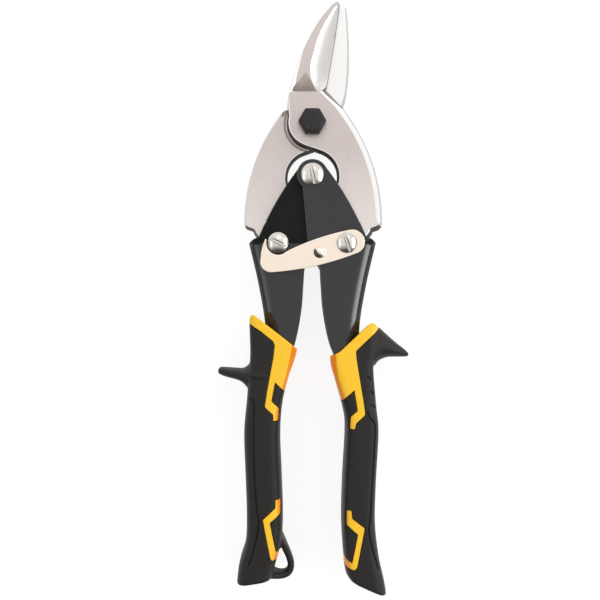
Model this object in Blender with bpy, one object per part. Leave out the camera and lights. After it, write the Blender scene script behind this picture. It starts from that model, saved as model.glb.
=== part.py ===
"""Aviation snips with compound levers, closed and latched, lying on the backs of their grips.

The jaws point to +Y and the front of the tool faces +Z. Shapes are drawn in design coordinates: the
main pivot is at x = 0, y = 0, and the blades meet at z = 0. The frame empties then set the tool down
with its lowest face at z = 0 and its plan centred on the origin. All sizes are in metres.
"""

import math

import bmesh
import bpy
from mathutils import Matrix, Vector

# Pivots, measured from the main pivot
HANDLE_PIVOT_DROP = 0.0224
BLADE_PIVOT_DROP = 0.0506
BLADE_PIVOT_SPREAD = 0.01405

# Clearances
CLEARANCE = 0.0003
PIN_FIT = 0.00015
OPEN_PIVOT_PLAY = 0.0003

# Sheet and plate thicknesses, which set the layers from front to back
BLADE_THICKNESS = 0.0042
SHEET_THICKNESS = 0.0018
LATCH_THICKNESS = 0.0015

# Blade tangs, alike on both blades
BLADE_BOSS_RADIUS = 0.0098
BLADE_NECK = 0.0013
TANG_EYE_RADIUS = 0.0070
TANG_HEEL_OUT = 0.0137
TANG_HEEL_UP = 0.0086
TANG_HEEL_IN = 0.0036
TANG_HEEL_DOWN = 0.0025
TANG_HEEL_ROUND = 0.0022
TANG_BULGE = 0.0042
SHOULDER_OUT = 0.0118
SHOULDER_UP = 0.0054
BOSS_START = math.radians(-193)
CUTOUT_END = math.radians(-22)
EYE_START = math.radians(180)
EYE_END = math.radians(372)

# Jaws
JAW_REACH = 0.0515
TIP_OFFSET = 0.0112
TIP_FLAT = 0.0009
CUT_START_UP = 0.0150
CUT_START_OUT = 0.0057
CUT_BULGE = 0.0006
RELIEF_NOTCH = 0.0014
FRONT_SPINE_BULGE = 0.0052
REAR_SPINE_BULGE = 0.0038
JAW_OVERLAP = 0.0020
EDGE_LAND = 0.0014
HOLLOW_WIDTH = 0.0079
HOLLOW_SAG = 0.0007
HOLLOW_WIDEST = 0.3
HOLLOW_HEEL = 0.45
HOLLOW_LIMIT = 0.8

# Main pivot bolt and nut
BOLT_RADIUS = 0.0030
BOLT_HEAD_FLATS = 0.0100
BOLT_HEAD_HEIGHT = 0.0040
BOLT_NUT_HEIGHT = 0.0050
BOLT_END = 0.0008
BOLT_CHAMFER = math.radians(30)

# Slotted pivot screws, their nuts, spacers and sleeve
SCREW_RADIUS = 0.0025
HANDLE_SCREW_HEAD_RADIUS = 0.0046
BLADE_SCREW_HEAD_RADIUS = 0.0042
SCREW_HEAD_HEIGHT = 0.0025
SCREW_HEAD_CHAMFER = 0.0006
SCREW_COLLAR_STEP = 0.0009
SLOT_WIDTH = 0.0011
SLOT_DEPTH = 0.0012
HANDLE_SLOT_ANGLE = math.radians(90)
RIGHT_SLOT_ANGLE = math.radians(102)
LEFT_SLOT_ANGLE = math.radians(-29)
SCREW_NUT_FLATS = 0.0080
SCREW_NUT_HEIGHT = 0.0025
SCREW_END_RECESS = 0.0002
SPACER_WALL = 0.00235
PIVOT_SLEEVE_WALL = 0.00095

# Opening spring
SPRING_WIRE_RADIUS = 0.00075
SPRING_COIL_PLAY = 0.00065
SPRING_END_GAP = 0.0006
SPRING_TURNS = 3
SPRING_LEG_PAST_PIVOT = 0.0045

# Pressed handle channels
FLANGE_BOSS_RADIUS = 0.0064
FLANGE_EDGE_BULGE = 0.0011
FLANGE_TAB_TOP = 0.0041
FLANGE_TAB_FOOT = 0.0019
FLANGE_TAB_DROP = 0.0010
FLANGE_TAB_CUT = 0.0016
FLANGE_BOSS_END = math.radians(28)
FLANGE_SHOULDER_OUT = 0.0080
WEB_OUT = 0.0123
WEB_UP = 0.0028
BEND_RADIUS = 0.0030
TAIL_WIDTH = 0.0074

# Outer face of a channel's web below the blade pivot, as (across, along)
WEB_PATH = (
    (0.0223, -0.0680),
    (0.0195, -0.0860),
    (0.0207, -0.0985),
)
# Inner edge of a channel's flanges, from its tail up to the gap between the handles
INNER_PATH = (
    (0.0100, -0.0995),
    (0.0069, -0.0910),
    (0.0046, -0.0790),
    (0.0037, -0.0680),
    (0.0033, -0.0612),
)
# Centre line of a channel's tail in its grip
TAIL_PATH = (
    (0.0197, -0.1160),
    (0.0206, -0.1270),
    (0.0204, -0.1380),
    (0.0198, -0.1510),
    (0.0193, -0.1630),
)

# Latch
LATCH_END_RADIUS = 0.0051
LATCH_END_OUT = 0.0023
LATCH_END_UP = 0.0004
LATCH_NOTCH_GAP = 0.0005
LATCH_HOOK_WIDTH = 0.0026
LATCH_HOOK_UP = 0.0019
LATCH_HOOK_TIP = 0.25
LATCH_DEPTH = 0.0122
LATCH_HEEL_RADIUS = 0.0046
LATCH_TOP_BULGE = 0.0010
LATCH_FOOT_BULGE = 0.0014
LATCH_HOOK_BULGE = 0.0005
LATCH_END_FROM = math.radians(-64)
LATCH_END_TO = math.radians(98)
LATCH_NOTCH_FROM = math.radians(-50)
LATCH_NOTCH_TO = math.radians(-196)
LATCH_HEEL_FROM = math.radians(165)
LATCH_HEEL_TO = math.radians(272)
LATCH_NUB_RADIUS = 0.0022
LATCH_NUB_HEIGHT = 0.0012
LATCH_NUB_OUT = 0.0111
LATCH_NUB_DROP = 0.0038
# The nub's profile as shares of its radius and height
LATCH_NUB_PROFILE = ((1.0, 0.4), (0.8, 0.8), (0.4, 1.0))

# Grips: walls, and each section's roundness
COVER_WALL = 0.0012
SLEEVE_WALL = 0.0012
GRIP_LAND_CUT = 0.0003
GRIP_ROUNDNESS = 4.0
GRIP_END_ROUND = 0.0016
GRIP_END_REACH = 0.0011
COLLAR_WIDTH = 0.0235
RIGHT_COLLAR_CENTRE = 0.0168
LEFT_COLLAR_CENTRE = -0.0157
RIGHT_GRIP_WIDTH = 0.0137
LEFT_GRIP_WIDTH = 0.0149
SLEEVE_END_INSET = 0.0090
SLEEVE_TOP_INSET = 0.0030

# Stations down each grip: section centre (x, y), width and slant in degrees
RIGHT_GRIP = (
    (RIGHT_COLLAR_CENTRE, -0.0902, COLLAR_WIDTH, 34.4),
    (0.0173, -0.0973, 0.0208, 27.6),
    (0.0175, -0.1048, 0.0167, 22.0),
    (0.0199, -0.1193, RIGHT_GRIP_WIDTH, 10.0),
    (0.0207, -0.1290, RIGHT_GRIP_WIDTH, 1.5),
    (0.0196, -0.1494, RIGHT_GRIP_WIDTH, 0.0),
    (0.0192, -0.1660, RIGHT_GRIP_WIDTH, 2.0),
    (0.0202, -0.1788, 0.0144, 0.0),
    (0.0213, -0.1861, 0.0155, -4.6),
    (0.0226, -0.1916, 0.0176, -24.0),
)
LEFT_GRIP = (
    (LEFT_COLLAR_CENTRE, -0.0871, COLLAR_WIDTH, -34.2),
    (-0.0168, -0.0950, 0.0206, -29.0),
    (-0.0179, -0.1027, 0.0174, -24.0),
    (-0.0197, -0.1150, LEFT_GRIP_WIDTH, -9.0),
    (-0.0209, -0.1290, LEFT_GRIP_WIDTH, -3.0),
    (-0.0203, -0.1469, LEFT_GRIP_WIDTH, 0.0),
    (-0.0198, -0.1620, LEFT_GRIP_WIDTH, 0.0),
    (-0.0202, -0.1737, LEFT_GRIP_WIDTH, 0.0),
    (-0.0226, -0.1826, 0.0154, 3.0),
    (-0.0238, -0.1892, 0.0152, 9.0),
)
# Stations out along each thumb horn: x, y, half height, half depth
RIGHT_HORN = (
    (0.0217, -0.0937, 0.0054, 0.0090),
    (0.0259, -0.0929, 0.0074, 0.0095),
    (0.0288, -0.0924, 0.0060, 0.0092),
    (0.0322, -0.0934, 0.0045, 0.0086),
    (0.0360, -0.0947, 0.0029, 0.0075),
    (0.0387, -0.0957, 0.0017, 0.0062),
    (0.0402, -0.0962, 0.0007, 0.0048),
)
LEFT_HORN = (
    (-0.0225, -0.1046, 0.0046, 0.0090),
    (-0.0261, -0.1052, 0.0050, 0.0090),
    (-0.0275, -0.1053, 0.0034, 0.0086),
    (-0.0294, -0.1051, 0.0023, 0.0080),
    (-0.0336, -0.1043, 0.0018, 0.0070),
    (-0.0374, -0.1035, 0.0015, 0.0060),
    (-0.0393, -0.1034, 0.0008, 0.0046),
)
# Centre line of the lanyard loop at the end of the left grip
LOOP_PATH = (
    (-0.0140, -0.1720),
    (-0.0113, -0.1780),
    (-0.0096, -0.1820),
    (-0.0089, -0.1855),
    (-0.0100, -0.1884),
    (-0.0132, -0.1899),
    (-0.0180, -0.1900),
)
LOOP_HALF_WIDTH = 0.0012
LOOP_HALF_DEPTH = 0.0040

# Outlines of the bright inlays seen from the front
RIGHT_COLLAR_INLAY = (
    (0.0030, -0.0940),
    (0.0030, -0.1033),
    (0.0104, -0.1168),
    (0.0171, -0.1106),
    (0.0185, -0.1192),
    (0.0157, -0.1216),
    (0.0153, -0.1265),
    (0.0172, -0.1267),
    (0.0177, -0.1243),
    (0.0214, -0.1208),
    (0.0208, -0.1160),
    (0.0179, -0.0984),
    (0.0176, -0.0944),
    (0.0234, -0.0883),
)
LEFT_COLLAR_INLAY = (
    (-0.0040, -0.0910),
    (-0.0040, -0.0952),
    (-0.0098, -0.1131),
)
LEFT_SIDE_INLAY = (
    (-0.0183, -0.1106),
    (-0.0159, -0.0976),
    (-0.0153, -0.0923),
    (-0.0159, -0.0905),
    (-0.0206, -0.0865),
)
# Top corners of the collars' inlays, their first figure measured from the collar's outer edge
RIGHT_COLLAR_EDGE = RIGHT_COLLAR_CENTRE + COLLAR_WIDTH / 2
RIGHT_CORNER_INLAY = (
    (-0.00105, -0.0842),
    (-0.00355, -0.0790),
)
LEFT_COLLAR_EDGE = LEFT_COLLAR_CENTRE - COLLAR_WIDTH / 2
LEFT_CORNER_INLAY = (
    (0.00115, -0.0826),
    (0.00195, -0.0780),
)
# The stem of the left inlay and the lower inlays, their first figure measured from the grip's inner edge
LEFT_STEM_CENTRE = -0.0202
LEFT_STEM_EDGE = LEFT_STEM_CENTRE + LEFT_GRIP_WIDTH / 2
LEFT_STEM_INLAY = (
    (-0.00255, -0.1074),
    (-0.00405, -0.1153),
    (-0.00105, -0.1182),
    (-0.00135, -0.1233),
    (-0.00325, -0.1233),
    (-0.00325, -0.1208),
    (-0.00665, -0.1176),
)
RIGHT_END_CENTRE = 0.0196
RIGHT_END_EDGE = RIGHT_END_CENTRE - RIGHT_GRIP_WIDTH / 2
RIGHT_END_INLAY = (
    (0.00125, -0.1599),
    (0.00315, -0.1599),
    (0.00325, -0.1631),
    (0.00845, -0.1670),
    (0.00535, -0.1831),
    (0.00435, -0.1841),
    (0.00185, -0.1835),
    (-0.00275, -0.1811),
    (-0.00275, -0.1772),
    (0.00085, -0.1799),
    (0.00345, -0.1815),
    (0.00585, -0.1695),
    (0.00125, -0.1656),
)
LEFT_END_CENTRE = -0.0200
LEFT_END_EDGE = LEFT_END_CENTRE + LEFT_GRIP_WIDTH / 2
LEFT_END_INLAY = (
    (-0.00255, -0.1556),
    (-0.00065, -0.1556),
    (-0.00065, -0.1613),
    (-0.00495, -0.1648),
    (-0.00245, -0.1772),
    (-0.00045, -0.1773),
    (-0.00055, -0.1801),
    (-0.00395, -0.1805),
    (-0.00455, -0.1795),
    (-0.00765, -0.1636),
    (-0.00255, -0.1589),
)

# Facets
PIN_SIDES = 32
ARC_STEP = math.radians(7)
BOW_STEPS = 10
EDGE_STEPS = 16
HOLLOW_STEPS = 4
SPLINE_STEPS = 3
GRIP_SIDES = 24
HORN_SIDES = 16
LOOP_SIDES = 8
NUB_SIDES = 20
WIRE_POINTS = 12
WIRE_RESOLUTION = 1
BEND_SEGMENTS = 3
SMOOTH_ANGLE = math.radians(35)

# Cutters run this far past what they cut
OVERRUN = 0.0010
FAR = 0.3

# Pivot centres in design coordinates
MAIN_PIVOT = Vector((0.0, 0.0))
HANDLE_PIVOT = Vector((0.0, -HANDLE_PIVOT_DROP))
RIGHT_PIVOT = Vector((BLADE_PIVOT_SPREAD, -BLADE_PIVOT_DROP))
LEFT_PIVOT = Vector((-BLADE_PIVOT_SPREAD, -BLADE_PIVOT_DROP))

# Layer faces above the plane where the blades meet
BLADE_INNER = CLEARANCE / 2
BLADE_OUTER = BLADE_INNER + BLADE_THICKNESS
NEAR_FLANGE_INNER = BLADE_OUTER + CLEARANCE
NEAR_FLANGE_OUTER = NEAR_FLANGE_INNER + SHEET_THICKNESS
FAR_FLANGE_INNER = NEAR_FLANGE_OUTER + CLEARANCE
FAR_FLANGE_OUTER = FAR_FLANGE_INNER + SHEET_THICKNESS
LATCH_BACK = FAR_FLANGE_OUTER + CLEARANCE
LATCH_FRONT = LATCH_BACK + LATCH_THICKNESS
LATCH_SCREW_HEAD = LATCH_FRONT + CLEARANCE
GRIP_HALF_DEPTH = FAR_FLANGE_OUTER + SLEEVE_WALL + COVER_WALL + 2 * CLEARANCE

# Round sizes that fit one another
SCREW_BORE = SCREW_RADIUS + PIN_FIT
SCREW_COLLAR_RADIUS = SCREW_RADIUS + SCREW_COLLAR_STEP
SPACER_RADIUS = SCREW_BORE + SPACER_WALL
PIVOT_SLEEVE_RADIUS = SCREW_BORE + PIVOT_SLEEVE_WALL
SPRING_COIL_RADIUS = PIVOT_SLEEVE_RADIUS + SPRING_COIL_PLAY + SPRING_WIRE_RADIUS
LATCH_NOTCH_RADIUS = BLADE_SCREW_HEAD_RADIUS + LATCH_NOTCH_GAP


def clear_scene():
    """Start from an empty scene."""
    for old in list(bpy.data.objects):
        bpy.data.objects.remove(old, do_unlink=True)


def material(name, colour, metallic, roughness):
    """A Principled material."""
    made = bpy.data.materials.new(name)
    made.use_nodes = True
    shader = made.node_tree.nodes["Principled BSDF"]
    shader.inputs["Base Color"].default_value = (*colour, 1.0)
    shader.inputs["Metallic"].default_value = metallic
    shader.inputs["Roughness"].default_value = roughness
    return made


def arc(centre, radius, start, end):
    """Points on a circle from one angle to another, both in radians and both ends included."""
    steps = max(2, math.ceil(abs(end - start) / ARC_STEP))
    turns = [start + (end - start) * step / steps for step in range(steps + 1)]
    return [centre + radius * Vector((math.cos(turn), math.sin(turn))) for turn in turns]


def circle(centre, radius, sides=PIN_SIDES):
    """A closed round outline."""
    turns = [2 * math.pi * side / sides for side in range(sides)]
    return [centre + radius * Vector((math.cos(turn), math.sin(turn))) for turn in turns]


def bowed(start, end, bulge, steps=BOW_STEPS):
    """Points after start up to end on a shallow bow that swells to the left of the way."""
    start = Vector(start)
    end = Vector(end)
    along = end - start
    left = Vector((-along.y, along.x)).normalized()
    shares = [step / steps for step in range(1, steps + 1)]
    return [start + along * share + left * bulge * 4 * share * (1 - share) for share in shares]


def spline(points, steps=SPLINE_STEPS):
    """A smooth run through points of any dimension, both ends included."""
    knots = [Vector(point) for point in points]
    before = 2 * knots[0] - knots[1]
    after = 2 * knots[-1] - knots[-2]
    padded = [before, *knots, after]
    run = []
    for index in range(len(knots) - 1):
        a, b, c, d = padded[index:index + 4]
        for step in range(steps):
            t = step / steps
            bend = (2 * a - 5 * b + 4 * c - d) * t * t + (3 * b - a - 3 * c + d) * t ** 3
            run.append((2 * b + (c - a) * t + bend) / 2)
    run.append(knots[-1])
    return run


def grown(outline, distance):
    """A closed outline moved outwards by a distance, with mitred corners."""
    count = len(outline)
    area = sum(outline[i - 1].cross(outline[i]) for i in range(count))
    side = distance if area > 0 else -distance
    moved = []
    for index in range(count):
        point = outline[index]
        into = (point - outline[index - 1]).normalized()
        away = (outline[(index + 1) % count] - point).normalized()
        normal = Vector((into.y + away.y, -into.x - away.x)).normalized()
        mitre = max(0.5, normal.dot(Vector((into.y, -into.x))))
        moved.append(point + normal * side / mitre)
    return moved


def mirrored(outline):
    """The outline on the other side of the centre line."""
    return [Vector((-point.x, point.y)) for point in outline]


def solid(name, bm):
    """Turn a bmesh into a named object with outward faces."""
    bmesh.ops.recalc_face_normals(bm, faces=bm.faces)
    mesh = bpy.data.meshes.new(name)
    bm.to_mesh(mesh)
    bm.free()
    made = bpy.data.objects.new(name, mesh)
    bpy.context.scene.collection.objects.link(made)
    return made


def plate(name, outline, bottom, top, bends=()):
    """A prism over an outline; edges of its faces between two bend points are rounded."""
    bm = bmesh.new()
    corners = [bm.verts.new((point.x, point.y, bottom)) for point in outline]
    face = bm.faces.new(corners)
    raised = bmesh.ops.extrude_face_region(bm, geom=[face])["geom"]
    lifted = [item for item in raised if isinstance(item, bmesh.types.BMVert)]
    bmesh.ops.translate(bm, verts=lifted, vec=(0, 0, top - bottom))
    if bends:
        places = {(round(point.x, 6), round(point.y, 6)) for point in bends}

        def on_bend(vert):
            return (round(vert.co.x, 6), round(vert.co.y, 6)) in places

        level = [edge for edge in bm.edges if abs(edge.verts[0].co.z - edge.verts[1].co.z) < 1e-6]
        round_edges = [edge for edge in level if on_bend(edge.verts[0]) and on_bend(edge.verts[1])]
        bmesh.ops.bevel(
            bm,
            geom=round_edges,
            offset=BEND_RADIUS,
            segments=BEND_SEGMENTS,
            profile=0.5,
            affect="EDGES",
        )
    return solid(name, bm)


def loft(name, rings):
    """A closed solid skinned over rings with the same number of points."""
    bm = bmesh.new()
    rows = [[bm.verts.new(point) for point in ring] for ring in rings]
    sides = len(rows[0])
    for lower, upper in zip(rows, rows[1:]):
        for side in range(sides):
            after = (side + 1) % sides
            bm.faces.new((lower[side], lower[after], upper[after], upper[side]))
    bm.faces.new(rows[0])
    bm.faces.new(rows[-1])
    return solid(name, bm)


def turned(name, centre, profile, sides=PIN_SIDES):
    """A turned solid on an upright axis, from (radius, height) pairs that run from axis to axis."""
    rings = [[(*point, height) for point in circle(centre, radius, sides)] for radius, height in profile]
    return loft(name, rings)


def ring(name, centre, outer, inner, bottom, top, sides=PIN_SIDES):
    """A round ring or tube."""
    made = plate(name, circle(centre, outer, sides), bottom, top)
    drill(made, centre, inner, bottom, top)
    return made


def combine(target, tool, operation):
    """Apply a Boolean with a tool solid, then drop the tool."""
    change = target.modifiers.new(operation.lower(), "BOOLEAN")
    change.operation = operation
    change.solver = "EXACT"
    change.object = tool
    graph = bpy.context.evaluated_depsgraph_get()
    result = bpy.data.meshes.new_from_object(target.evaluated_get(graph))
    target.modifiers.clear()
    target.data = result
    bpy.data.objects.remove(tool, do_unlink=True)


def drill(target, centre, radius, bottom, top):
    """Cut a round hole between two heights."""
    tool = plate("drill", circle(centre, radius), bottom - OVERRUN, top + OVERRUN)
    combine(target, tool, "DIFFERENCE")


def copy_of(source, name):
    """A separate copy of a solid."""
    made = bpy.data.objects.new(name, source.data.copy())
    bpy.context.scene.collection.objects.link(made)
    return made


def drop(*tools):
    """Remove solids that were only used for cutting."""
    for tool in tools:
        bpy.data.objects.remove(tool, do_unlink=True)


def tang_outline():
    """The right-hand tang, from the boss round the main pivot down to its eye and up to the shoulder."""
    cutout = HANDLE_PIVOT_DROP - BLADE_BOSS_RADIUS - BLADE_NECK
    lean = (BLADE_BOSS_RADIUS + cutout) / HANDLE_PIVOT_DROP
    touch = math.atan2(-lean, -math.sqrt(1 - lean ** 2))
    outline = arc(MAIN_PIVOT, BLADE_BOSS_RADIUS, BOSS_START, touch)
    outline += arc(HANDLE_PIVOT, cutout, touch + math.pi, CUTOUT_END)
    outline += arc(RIGHT_PIVOT, TANG_EYE_RADIUS, EYE_START, EYE_END)
    heel = RIGHT_PIVOT + Vector((TANG_HEEL_OUT, TANG_HEEL_UP))
    outline.append(heel + Vector((-TANG_HEEL_IN, -TANG_HEEL_DOWN)))
    outline.append(heel)
    outline += bowed(heel + Vector((0, TANG_HEEL_ROUND)), (SHOULDER_OUT, SHOULDER_UP), -TANG_BULGE)
    return outline


def hollow_width(share):
    """How wide the hollow is at a share of the cutting edge, from its heel to the tip."""
    if share < HOLLOW_WIDEST:
        return HOLLOW_WIDTH * (1 - (1 - HOLLOW_HEEL) * (1 - share / HOLLOW_WIDEST) ** 2)
    return HOLLOW_WIDTH * (1 - ((share - HOLLOW_WIDEST) / (1 - HOLLOW_WIDEST)) ** 2)


def hollow_cutter(name, edge, spine, sign):
    """The hollow ground into a jaw: from its cutting edge up to a curved ridge near its spine."""
    rings = []
    low = sign * (BLADE_INNER + EDGE_LAND)
    high = sign * BLADE_OUTER
    clear = sign * (BLADE_OUTER + OVERRUN)
    last = len(edge) - 1
    for index, (at_edge, at_spine) in enumerate(zip(edge, spine)):
        share = index / last
        inward = (at_spine - at_edge).normalized()
        reach = (at_spine - at_edge).length
        width = min(hollow_width(share), reach * HOLLOW_LIMIT)
        ridge = at_edge + inward * width
        outside = at_edge - inward * OVERRUN
        ring = [(*outside, low)]
        for step in range(HOLLOW_STEPS + 1):
            part = step / HOLLOW_STEPS
            sag = sign * HOLLOW_SAG * 4 * part * (1 - part)
            ring.append((*at_edge.lerp(ridge, part), low + (high - low) * part - sag))
        ring.append((*(ridge + inward * OVERRUN / 2), clear))
        ring.append((*outside, clear))
        rings.append(ring)
    return loft(name, rings)


def front_blade():
    """The blade in front: spine on the left, tang on the right."""
    tang = tang_outline()
    tip = Vector((TIP_OFFSET, JAW_REACH))
    spine_foot = tang[0]
    cut_start = Vector((CUT_START_OUT, CUT_START_UP))
    spine = bowed(tip + Vector((-TIP_FLAT, 0)), spine_foot, -FRONT_SPINE_BULGE, steps=EDGE_STEPS)
    edge = [cut_start, *bowed(cut_start, tip, -CUT_BULGE, steps=EDGE_STEPS)]
    notch = cut_start + Vector((-RELIEF_NOTCH, -RELIEF_NOTCH))
    outline = [*tang, notch, *edge, tip + Vector((-TIP_FLAT, 0)), *spine[:-1]]
    made = plate("front_blade", outline, BLADE_INNER, BLADE_OUTER)
    far_side = [Vector((spine_at(spine, point.y), point.y)) for point in edge]
    combine(made, hollow_cutter("front_hollow", edge, far_side, 1), "DIFFERENCE")
    drill(made, MAIN_PIVOT, BOLT_RADIUS + PIN_FIT, BLADE_INNER, BLADE_OUTER)
    drill(made, RIGHT_PIVOT, SCREW_BORE, BLADE_INNER, BLADE_OUTER)
    return made


def spine_at(spine, height):
    """Where a jaw's spine lies across the tool at a height along it."""
    for upper, lower in zip(spine, spine[1:]):
        if lower.y <= height <= upper.y:
            share = (height - lower.y) / max(upper.y - lower.y, 1e-9)
            return lower.x + (upper.x - lower.x) * share
    return spine[0].x


def rear_blade():
    """The blade behind: spine on the right, tang on the left."""
    tang = mirrored(tang_outline())
    tip = Vector((TIP_OFFSET + TIP_FLAT, JAW_REACH))
    spine_foot = tang[0]
    cut_start = Vector((CUT_START_OUT - JAW_OVERLAP, CUT_START_UP))
    tip_edge = tip + Vector((-2 * TIP_FLAT, -TIP_FLAT))
    spine = bowed(tip, spine_foot, REAR_SPINE_BULGE, steps=EDGE_STEPS)
    edge = [cut_start, *bowed(cut_start, tip_edge, -CUT_BULGE, steps=EDGE_STEPS)]
    notch = cut_start + Vector((-RELIEF_NOTCH, -RELIEF_NOTCH))
    outline = [*tang, notch, *edge, tip, *spine[:-1]]
    made = plate("rear_blade", outline, -BLADE_OUTER, -BLADE_INNER)
    far_side = [Vector((spine_at(spine, point.y), point.y)) for point in edge]
    combine(made, hollow_cutter("rear_hollow", edge, far_side, -1), "DIFFERENCE")
    drill(made, MAIN_PIVOT, BOLT_RADIUS + PIN_FIT, -BLADE_OUTER, -BLADE_INNER)
    drill(made, LEFT_PIVOT, SCREW_BORE + OPEN_PIVOT_PLAY, -BLADE_OUTER, -BLADE_INNER)
    return made


def hexagon(centre, flats):
    """A hexagon with two flats level, given across its flats."""
    return circle(centre, flats / math.sqrt(3), sides=6)


def hex_nut(name, centre, flats, bore, bottom, top):
    """A plain hexagon nut."""
    made = plate(name, hexagon(centre, flats), bottom, top)
    drill(made, centre, bore, bottom, top)
    return made


def main_pivot_bolt():
    """Hexagon bolt through both blades, its head chamfered round the rim."""
    head_foot = BLADE_OUTER + CLEARANCE
    head_top = head_foot + BOLT_HEAD_HEIGHT
    end = -(BLADE_OUTER + CLEARANCE + BOLT_NUT_HEIGHT + BOLT_END)
    made = plate("main_pivot_bolt", hexagon(MAIN_PIVOT, BOLT_HEAD_FLATS), head_foot, head_top)
    corner = BOLT_HEAD_FLATS / math.sqrt(3)
    rim = BOLT_HEAD_FLATS / 2
    slope = (corner - rim) * math.tan(BOLT_CHAMFER)
    cone = [
        (corner + OVERRUN, head_foot - OVERRUN),
        (corner + OVERRUN, head_top - slope),
        (corner, head_top - slope),
        (rim, head_top),
    ]
    combine(made, turned("chamfer", MAIN_PIVOT, cone), "INTERSECT")
    shank = turned("shank", MAIN_PIVOT, [(BOLT_RADIUS, end), (BOLT_RADIUS, head_foot + OVERRUN)])
    combine(made, shank, "UNION")
    return made


def slotted_screw(name, centre, head_radius, head_foot, end, slot_angle, collar=None):
    """A pivot screw with a slotted cheese head and, where given, a collar between two heights."""
    head_top = head_foot + SCREW_HEAD_HEIGHT
    profile = [(SCREW_RADIUS, end)]
    if collar:
        low, high = collar
        profile += [
            (SCREW_RADIUS, low),
            (SCREW_COLLAR_RADIUS, low),
            (SCREW_COLLAR_RADIUS, high),
            (SCREW_RADIUS, high),
        ]
    profile += [
        (SCREW_RADIUS, head_foot),
        (head_radius, head_foot),
        (head_radius, head_top - SCREW_HEAD_CHAMFER),
        (head_radius - SCREW_HEAD_CHAMFER, head_top),
    ]
    made = turned(name, centre, profile)
    along = Vector((math.cos(slot_angle), math.sin(slot_angle)))
    across = Vector((-along.y, along.x)) * SLOT_WIDTH / 2
    reach = along * (head_radius + OVERRUN)
    corners = [
        centre + reach + across,
        centre - reach + across,
        centre - reach - across,
        centre + reach - across,
    ]
    combine(made, plate("slot", corners, head_top - SLOT_DEPTH, head_top + OVERRUN), "DIFFERENCE")
    return made


def pivot_hardware():
    """Screws, nuts, spacers and sleeve of the three handle pivots, by node name."""
    near_nut = -(NEAR_FLANGE_OUTER + CLEARANCE)
    far_nut = -(FAR_FLANGE_OUTER + CLEARANCE)
    near_end = near_nut - SCREW_NUT_HEIGHT + SCREW_END_RECESS
    far_end = far_nut - SCREW_NUT_HEIGHT + SCREW_END_RECESS
    made = [
        slotted_screw(
            "handle_pivot_screw",
            HANDLE_PIVOT,
            HANDLE_SCREW_HEAD_RADIUS,
            FAR_FLANGE_OUTER + CLEARANCE,
            far_end,
            HANDLE_SLOT_ANGLE,
        ),
        slotted_screw(
            "right_pivot_screw",
            RIGHT_PIVOT,
            BLADE_SCREW_HEAD_RADIUS,
            LATCH_SCREW_HEAD,
            near_end,
            RIGHT_SLOT_ANGLE,
        ),
        slotted_screw(
            "left_pivot_screw",
            LEFT_PIVOT,
            BLADE_SCREW_HEAD_RADIUS,
            LATCH_SCREW_HEAD,
            far_end,
            LEFT_SLOT_ANGLE,
            collar=(FAR_FLANGE_INNER, FAR_FLANGE_OUTER),
        ),
    ]
    for name, centre, foot in (
        ("handle_pivot_nut", HANDLE_PIVOT, far_nut),
        ("right_pivot_nut", RIGHT_PIVOT, near_nut),
        ("left_pivot_nut", LEFT_PIVOT, far_nut),
    ):
        made.append(hex_nut(name, centre, SCREW_NUT_FLATS, SCREW_BORE, foot - SCREW_NUT_HEIGHT, foot))
    thin = (NEAR_FLANGE_INNER, NEAR_FLANGE_OUTER)
    thick = (BLADE_INNER, BLADE_OUTER)
    for name, centre, (low, high) in (
        ("right_pivot_front_spacer", RIGHT_PIVOT, thin),
        ("right_pivot_rear_spacer", RIGHT_PIVOT, (-thick[1], -thick[0])),
        ("left_pivot_front_spacer", LEFT_PIVOT, thick),
        ("left_pivot_rear_spacer", LEFT_PIVOT, (-thin[1], -thin[0])),
    ):
        made.append(ring(name, centre, SPACER_RADIUS, SCREW_BORE, low, high))
    sleeve = ring(
        "handle_pivot_sleeve",
        HANDLE_PIVOT,
        PIVOT_SLEEVE_RADIUS,
        SCREW_BORE,
        -BLADE_OUTER,
        BLADE_OUTER,
    )
    made.append(sleeve)
    return made


def opening_spring():
    """Torsion spring round the pivot sleeve, with a leg lying against a spacer of each handle."""
    stand_off = SPACER_RADIUS + CLEARANCE + SPRING_WIRE_RADIUS
    end = RIGHT_PIVOT + Vector((-stand_off, -SPRING_LEG_PAST_PIVOT))
    away = end - HANDLE_PIVOT
    start = math.atan2(away.y, away.x) + math.acos(SPRING_COIL_RADIUS / away.length)
    turn = 2 * math.pi * SPRING_TURNS + math.pi - 2 * start
    rise = 2 * (NEAR_FLANGE_INNER - SPRING_END_GAP - SPRING_WIRE_RADIUS)
    count = math.ceil(WIRE_POINTS * turn / (2 * math.pi))
    coil = []
    for index in range(count + 1):
        share = index / count
        angle = start + turn * share
        place = HANDLE_PIVOT + SPRING_COIL_RADIUS * Vector((math.cos(angle), math.sin(angle)))
        coil.append(Vector((*place, rise * (share - 0.5))))
    foot = Vector((*end, -rise / 2))
    points = [foot, foot.lerp(coil[0], 0.5), *coil]
    far_foot = Vector((-foot.x, foot.y, rise / 2))
    points += [far_foot.lerp(coil[-1], 0.5), far_foot]
    print_least_gap(coil)
    curve = bpy.data.curves.new("opening_spring", "CURVE")
    curve.dimensions = "3D"
    curve.bevel_depth = SPRING_WIRE_RADIUS
    curve.bevel_resolution = WIRE_RESOLUTION
    curve.use_fill_caps = True
    line = curve.splines.new("POLY")
    line.points.add(len(points) - 1)
    for knot, point in zip(line.points, points):
        knot.co = (*point, 1.0)
    made = bpy.data.objects.new("opening_spring", curve)
    bpy.context.scene.collection.objects.link(made)
    return made


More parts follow.
